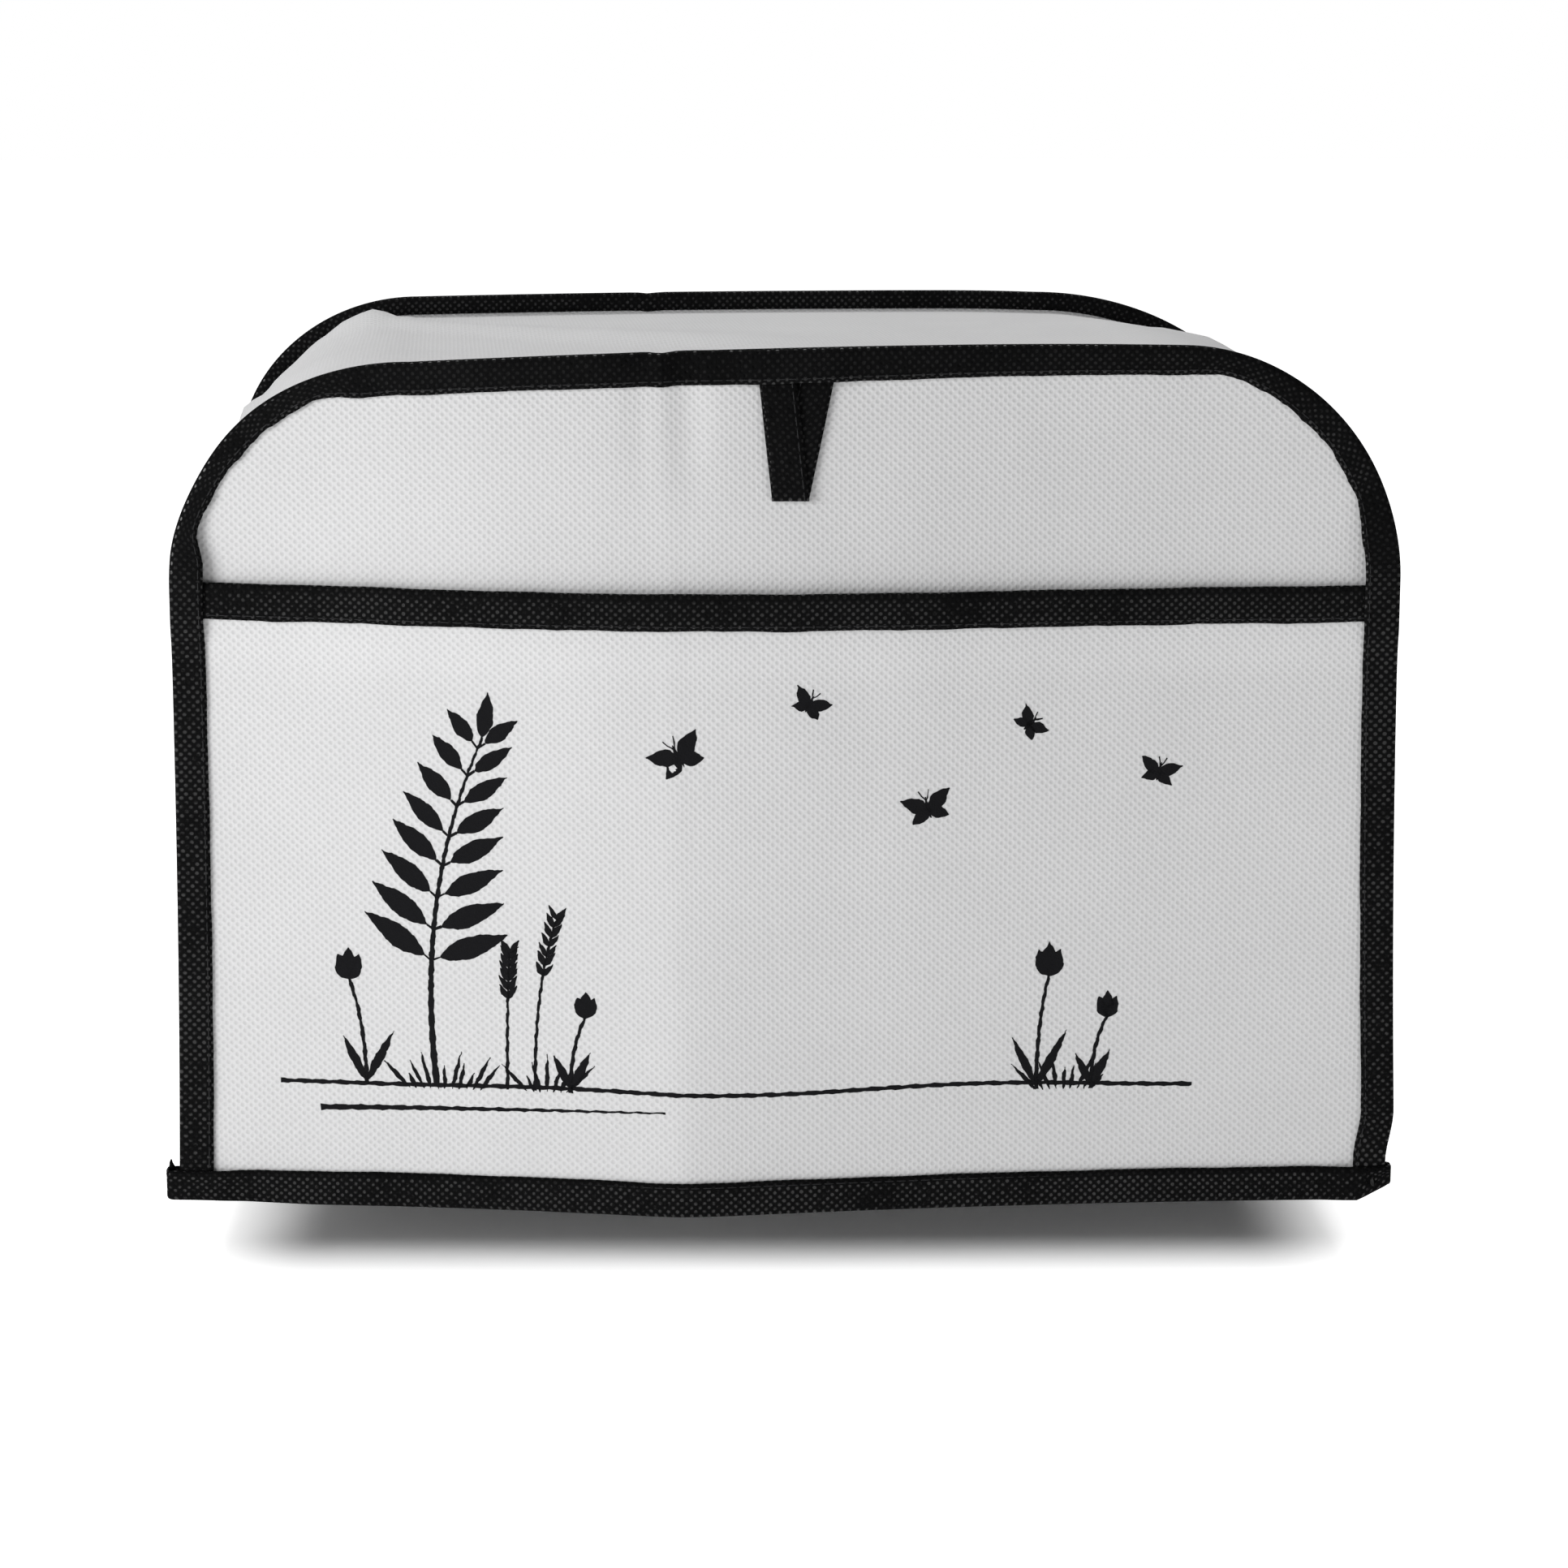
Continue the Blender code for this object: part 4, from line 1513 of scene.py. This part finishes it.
@dataclass
class Printing:
    """Generic plants and butterflies printed in black on the pocket."""

    room: Workroom
    proud: float = 0.00007
    bumpiness: float = 0.00022
    ground_height: float = 0.0315
    ground_steps: int = 260
    second_line_steps: int = 110
    leaf_pairs: int = 8
    grains: int = 7
    bm: bmesh.types.BMesh = field(default_factory=bmesh.new)

    def on_pocket(self, x: float, height: float) -> Vector:
        """Point on the face of the pocket, a hair in front of it."""
        y = DRAPE.front_y(x, height, 1) - DRAPE.pocket_lift(x, height)
        return placed(x, y - DRAPE.cloth / 2 - self.proud, height)

    def rough(self, x: float, height: float) -> Pair:
        """Place moved a little, as ink spreads round the pressed dots."""
        step = self.bumpiness
        slide = wander(x / 0.00055 + height / 0.0007, 3.3)
        climb = wander(height / 0.0005 - x / 0.0008, 8.1)
        return x + step * slide, height + step * climb

    def ribbon(self, line: Sequence[Pair], widths: Sequence[float]) -> None:
        """Adds a stroke.

        Args:
            line: Points along its middle.
            widths: Its width at each point.
        """
        rims: list[tuple[bmesh.types.BMVert, bmesh.types.BMVert]] = []
        for index, (x, height) in enumerate(line):
            x0, height0 = line[max(index - 1, 0)]
            x1, height1 = line[min(index + 1, len(line) - 1)]
            length = math.hypot(x1 - x0, height1 - height0) or 1.0
            side_x, side_height = -(height1 - height0) / length, (x1 - x0) / length
            half = widths[index] / 2
            pair = []
            for side in (-1, 1):
                place = self.rough(x + side * side_x * half, height + side * side_height * half)
                pair.append(self.bm.verts.new(self.on_pocket(*place)))
            rims.append((pair[0], pair[1]))
        for (a, b), (c, d) in zip(rims, rims[1:]):
            self.bm.faces.new((a, c, d, b))

    def curve(
        self, start: Pair, lean: Pair, end: Pair, widths: Pair, step: float = 0.0006
    ) -> list[Pair]:
        """Adds a curved stroke from start to end, pulled towards lean.

        Args:
            start: Its first point.
            lean: The point that bends it.
            end: Its last point.
            widths: Width at its start and end.
            step: Length of its pieces.

        Returns:
            The points along its middle.
        """
        count = max(3, round(math.dist(start, end) / step))
        line = []
        for index in range(count + 1):
            t = index / count
            line.append(
                tuple(
                    (1 - t) ** 2 * a + 2 * t * (1 - t) * b + t**2 * c
                    for a, b, c in zip(start, lean, end)
                )
            )
        self.ribbon(line, [mix(*widths, index / count) for index in range(count + 1)])
        return line

    def leaf(self, foot: Pair, angle: float, length: float, width: float) -> None:
        """Adds a pointed oval.

        Args:
            foot: Where it grows.
            angle: Its direction in degrees, counted from the right.
            length: From foot to tip.
            width: At its widest.
        """
        turn = math.radians(angle)
        count = max(5, round(length / 0.0006))
        line, widths = [], []
        for index in range(count + 1):
            share = index / count
            line.append(stepped(foot, turn, length * share))
            widths.append(max(width * math.sin(math.pi * share**0.8), 0.0002))
        self.ribbon(line, widths)

    def ground(self) -> None:
        """Adds the two lines that the plants stand on."""
        base, count = self.ground_height, self.ground_steps
        line = []
        for index in range(count + 1):
            share = index / count
            line.append((mix(-0.128, 0.104, share), base + 0.0022 * wander(share * 3.0, 0.6)))
        self.ribbon(line, [0.0011] * (count + 1))
        line, widths, count = [], [], self.second_line_steps
        for step in range(count + 1):
            line.append((mix(-0.118, -0.030, step / count), base - 0.0056 + 0.0012 * step / count))
            widths.append(mix(0.0015, 0.0004, step / count))
        self.ribbon(line, widths)

    def sprig(self, foot: Pair, height: float, lean: float) -> None:
        """Adds a tall stem with paired leaves.

        Args:
            foot: Where it stands.
            height: Its height.
            lean: How far its tip leans to the right.
        """
        tip = (foot[0] + lean, foot[1] + height)
        pull = (foot[0] - lean * 0.4, foot[1] + height * 0.55)
        stem = self.curve(foot, pull, tip, (0.0017, 0.0006))
        heading = math.degrees(math.atan2(height, lean))
        for index in range(self.leaf_pairs):
            up = index / (self.leaf_pairs - 1)
            place = stem[round(mix(0.34, 0.97, up) * (len(stem) - 1))]
            for side in (-1, 1):
                angle = heading - side * mix(62, 46, up)
                stalk = stepped(place, math.radians(angle), 0.0022)
                self.ribbon([place, stalk], [0.0006, 0.0006])
                self.leaf(stalk, angle, mix(0.0185, 0.0100, up), mix(0.0056, 0.0040, up))
        self.leaf(tip, heading, 0.0115, 0.0042)

    def wheat(self, foot: Pair, height: float, lean: float) -> None:
        """Adds an ear of grass on a thin stem."""
        tip = (foot[0] + lean, foot[1] + height)
        stem = self.curve(foot, (foot[0], foot[1] + height * 0.6), tip, (0.0009, 0.0005))
        heading = math.degrees(math.atan(lean / height))
        for index in range(self.grains):
            share = mix(0.62, 0.99, index / (self.grains - 1))
            place = stem[round(share * (len(stem) - 1))]
            for side in (-1, 1):
                self.leaf(place, 90 - side * 32 - heading, 0.0042, 0.0015)

    def tulip(self, foot: Pair, height: float, lean: float, size: float) -> None:
        """Adds a closed flower on a stem with two long leaves.

        Args:
            foot: Where it stands.
            height: Height of its stem.
            lean: How far the flower leans to the right.
            size: Height of the flower.
        """
        tip = (foot[0] + lean, foot[1] + height)
        self.curve(foot, (foot[0], foot[1] + height * 0.6), tip, (0.0011, 0.0008))
        for angle, share in ((68, 0.85), (90, 1.0), (112, 0.85)):
            self.leaf((tip[0], tip[1] - 0.0004), angle, size * share, size * 0.52)
        self.leaf((foot[0], foot[1] + 0.001), 62, height * 0.55, 0.0024)
        self.leaf((foot[0], foot[1] + 0.001), 116, height * 0.48, 0.0022)

    def grass(self, foot: Pair, spread: float, blades: int) -> None:
        """Adds a tuft of short blades."""
        for index in range(blades):
            share = index / (blades - 1)
            root = (foot[0] + spread * (share - 0.5), foot[1])
            length = 0.0075 + 0.0035 * wander(index * 1.9, 2.6)
            angle = mix(128, 52, share) + 9 * wander(index * 2.7, 1.4)
            self.leaf(root, angle, length, 0.0011)

    def butterfly(self, middle: Pair, size: float, tilt: float) -> None:
        """Adds a small butterfly.

        Args:
            middle: Where its body lies.
            size: Length of an upper wing.
            tilt: Direction of its head in degrees, counted from the right.
        """
        turn = math.radians(tilt)
        head = stepped(middle, turn, 0.3 * size)
        self.leaf((2 * middle[0] - head[0], 2 * middle[1] - head[1]), tilt, size * 0.75, 0.0011)
        for side in (-1, 1):
            self.leaf(middle, tilt + side * 58, size, size * 0.52)
            self.leaf(middle, tilt + side * 118, size * 0.72, size * 0.46)
            feeler = stepped(head, turn + side * 0.45, 0.42 * size)
            self.curve(head, head, feeler, (0.0003, 0.0003), 0.0008)

    def build(self) -> None:
        """Draws every motif and thickens the ink."""
        base = self.ground_height
        self.ground()
        self.sprig((-0.088, base + 0.0006), 0.0905, 0.013)
        self.wheat((-0.063, base + 0.0003), 0.045, 0.006)
        self.wheat((-0.070, base + 0.0003), 0.036, 0.001)
        self.tulip((-0.106, base + 0.0004), 0.028, -0.004, 0.0085)
        self.tulip((-0.054, base), 0.020, 0.004, 0.0070)
        self.grass((-0.086, base), 0.018, 11)
        self.grass((-0.060, base), 0.010, 7)
        self.tulip((0.064, base - 0.001), 0.030, 0.003, 0.0090)
        self.tulip((0.078, base - 0.001), 0.019, 0.004, 0.0070)
        self.grass((0.071, base - 0.001), 0.014, 9)
        flock = (
            ((-0.026, 0.118), 0.0085, 120),
            ((0.006, 0.131), 0.0060, 60),
            ((0.036, 0.104), 0.0075, 105),
            ((0.061, 0.125), 0.0055, 40),
            ((0.094, 0.112), 0.0062, 75),
        )
        for middle, size, tilt in flock:
            self.butterfly(middle, size, tilt)
        self.bm.normal_update()
        for face in self.bm.faces:
            if face.normal.y > 0:
                face.normal_flip()
        mesh = bpy.data.meshes.new("pocket_print")
        self.bm.to_mesh(mesh)
        self.bm.free()
        piece = bpy.data.objects.new("pocket_print", mesh)
        bpy.context.scene.collection.objects.link(piece)
        bpy.ops.object.select_all(action="DESELECT")
        piece.select_set(True)
        bpy.context.view_layer.objects.active = piece
        film = piece.modifiers.new("Film", "SOLIDIFY")
        film.thickness = 2 * self.proud
        film.offset = -1.0
        bpy.ops.object.modifier_apply(modifier=film.name)
        self.room.dressed(piece, PRINT_INK.name)
        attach(piece, BODY)
        log.info("%s has %d faces", piece.name, len(mesh.polygons))


@dataclass
class Studio:
    """Pale floor with a painted glow and a painted shadow under the cover, soft lights and the camera."""

    floor_height: float = -0.2306
    focal: float = 89.42
    place: tuple[float, float, float] = (-0.0124, -1.0559, 0.0847)
    down: float = 11.0936
    right: float = 0.74
    # Half sizes of the box under the cover where the floor's glow is left out: a painted shadow
    painted_shadow_box: Pair = (0.120, 0.066)
    # Distance over which the glow fades in beyond that box, the soft edge of the painted shadow
    painted_shadow_fade: float = 0.044
    # Strongest colour of the floor's painted glow
    floor_painted_glow: float = 0.95
    # Strength of the painted glow where it lights the cover from below: painted bounce light
    floor_painted_bounce: float = 0.45
    backdrop: float = 1.0
    ambient: float = 0.18

    def floor(self) -> None:
        """Adds a wide pale floor."""
        bpy.ops.object.select_all(action="DESELECT")
        bpy.ops.mesh.primitive_plane_add(size=12.0, location=(0.0, 2.0, self.floor_height))
        ground = bpy.context.object
        ground.name = "studio_floor"
        bpy.ops.object.transform_apply(location=True)
        ground.data.materials.append(self.floor_material())

    def floor_material(self) -> bpy.types.Material:
        """Pale floor that glows as painted light, so that it meets the white surroundings; the glow is
        left out round the cover's footprint, which paints the cover's shadow there.
        """
        material, nodes, shader = new_material("pale_floor_painted_glow_and_shadow")
        steps = (
            ("ABSOLUTE", None),
            ("SUBTRACT", (*self.painted_shadow_box, 9.0)),
            ("MAXIMUM", (0.0, 0.0, 0.0)),
            ("LENGTH", None),
        )
        source = nodes.tree.nodes.new("ShaderNodeTexCoord").outputs["Object"]
        for kind, value in steps:
            away = nodes.tree.nodes.new("ShaderNodeVectorMath")
            away.operation = kind
            if value:
                away.inputs[1].default_value = value
            nodes.link(source, away.inputs[0])
            source = away.outputs[0]
        # Painted glow that rises from nothing at the box's edge, leaving a painted shadow under the cover
        reach, glow = (0.0, self.painted_shadow_fade), (0.0, self.floor_painted_glow)
        glow = nodes.spread(away.outputs["Value"], reach, glow, smooth=True)
        tone = nodes.tree.nodes.new("ShaderNodeCombineColor")
        for socket in tone.inputs[:3]:
            nodes.link(glow, socket)
        nodes.link(tone.outputs[0], shader["Emission Color"])
        nodes.link(nodes.by_ray(self.floor_painted_bounce, 1.0), shader["Emission Strength"])
        shader["Base Color"].default_value = (0.93, 0.93, 0.93, 1.0)
        shader["Roughness"].default_value = 0.9
        shader["Specular IOR Level"].default_value = 0.1
        return material

    def light(
        self, name: str, place: tuple[float, float, float], size: float, power: float
    ) -> None:
        """Adds a square soft light that faces the cover.

        Args:
            name: Its name.
            place: Where it stands.
            size: Length of its side.
            power: Its strength in watts.
        """
        data = bpy.data.lights.new(name, "AREA")
        data.shape = "SQUARE"
        data.size = size
        data.energy = power
        lamp = bpy.data.objects.new(name, data)
        lamp.location = place
        aim = Vector((0.0, 0.0, -0.1)) - Vector(place)
        lamp.rotation_euler = aim.to_track_quat("-Z", "Y").to_euler()
        bpy.context.scene.collection.objects.link(lamp)

    def surroundings(self) -> None:
        """Sets an even white surrounding."""
        world = bpy.data.worlds.new("white_surroundings")
        world.use_nodes = True
        nodes = Nodes(world.node_tree)
        back = nodes.tree.nodes["Background"].inputs
        back["Color"].default_value = (1.0, 1.0, 1.0, 1.0)
        nodes.link(nodes.by_ray(self.ambient, self.backdrop), back["Strength"])
        bpy.context.scene.world = world
        bpy.context.scene.view_settings.view_transform = "Standard"

    def camera(self) -> None:
        """Adds the camera at the photographed angle."""
        data = bpy.data.cameras.new("studio_camera")
        data.lens = self.focal
        data.sensor_width = 36.0
        camera = bpy.data.objects.new("studio_camera", data)
        camera.location = self.place
        camera.rotation_euler = (math.radians(90 - self.down), 0.0, math.radians(-self.right))
        bpy.context.scene.collection.objects.link(camera)
        bpy.context.scene.camera = camera

    def build(self) -> None:
        """Sets up the whole studio."""
        self.floor()
        self.surroundings()
        self.light("left_window", (-0.86, -0.76, 0.20), 0.6, 6.5)
        self.light("overhead", (0.0, 0.4, 1.5), 1.2, 14.0)
        self.camera()


def main() -> None:
    """Builds the cover piece by piece, then the studio."""
    logging.basicConfig(level=logging.INFO, format="%(name)s: %(message)s")
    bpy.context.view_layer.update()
    room = Workroom()
    SeamTape(
        room,
        name="front_tape",
        node="front_binding",
        arch=FRONT,
        stations=seam_stations(70, 60, 110),
        width=lambda station: from_table(FRONT_TAPE_WIDTHS, station),
        depth=DRAPE.front_y,
        near=DRAPE.binding_lift,
        rising=True,
        pucker=0.0005,
        flat=(0.0150, 0.75),
        area=0.0111,
        crease_station=2.326,
        outward=Vector((0.0, -1.0, 0.0)),
    ).build()
    SeamTape(
        room,
        name="back_tape",
        node="back_binding",
        arch=BACK,
        stations=seam_stations(40, 40, 70),
        width=lambda station: 0.0083,
        depth=DRAPE.back_y,
        near=lambda x, height: 1.0,
        rising=False,
        pucker=0.0003,
        flat=(0.0148, 0.75),
        area=0.0108,
        crease_station=2.373,
        outward=Vector((0.0, 1.0, 0.0)),
    ).build()
    panels = Panels(room)
    panels.front()
    panels.back()
    panels.strip()
    pocket = Pocket(room)
    pocket.panel()
    pocket.band()
    Hem(room).build()
    HangLoop(room).build()
    Printing(room).build()
    Studio().build()


if __name__ == "__main__":
    main()
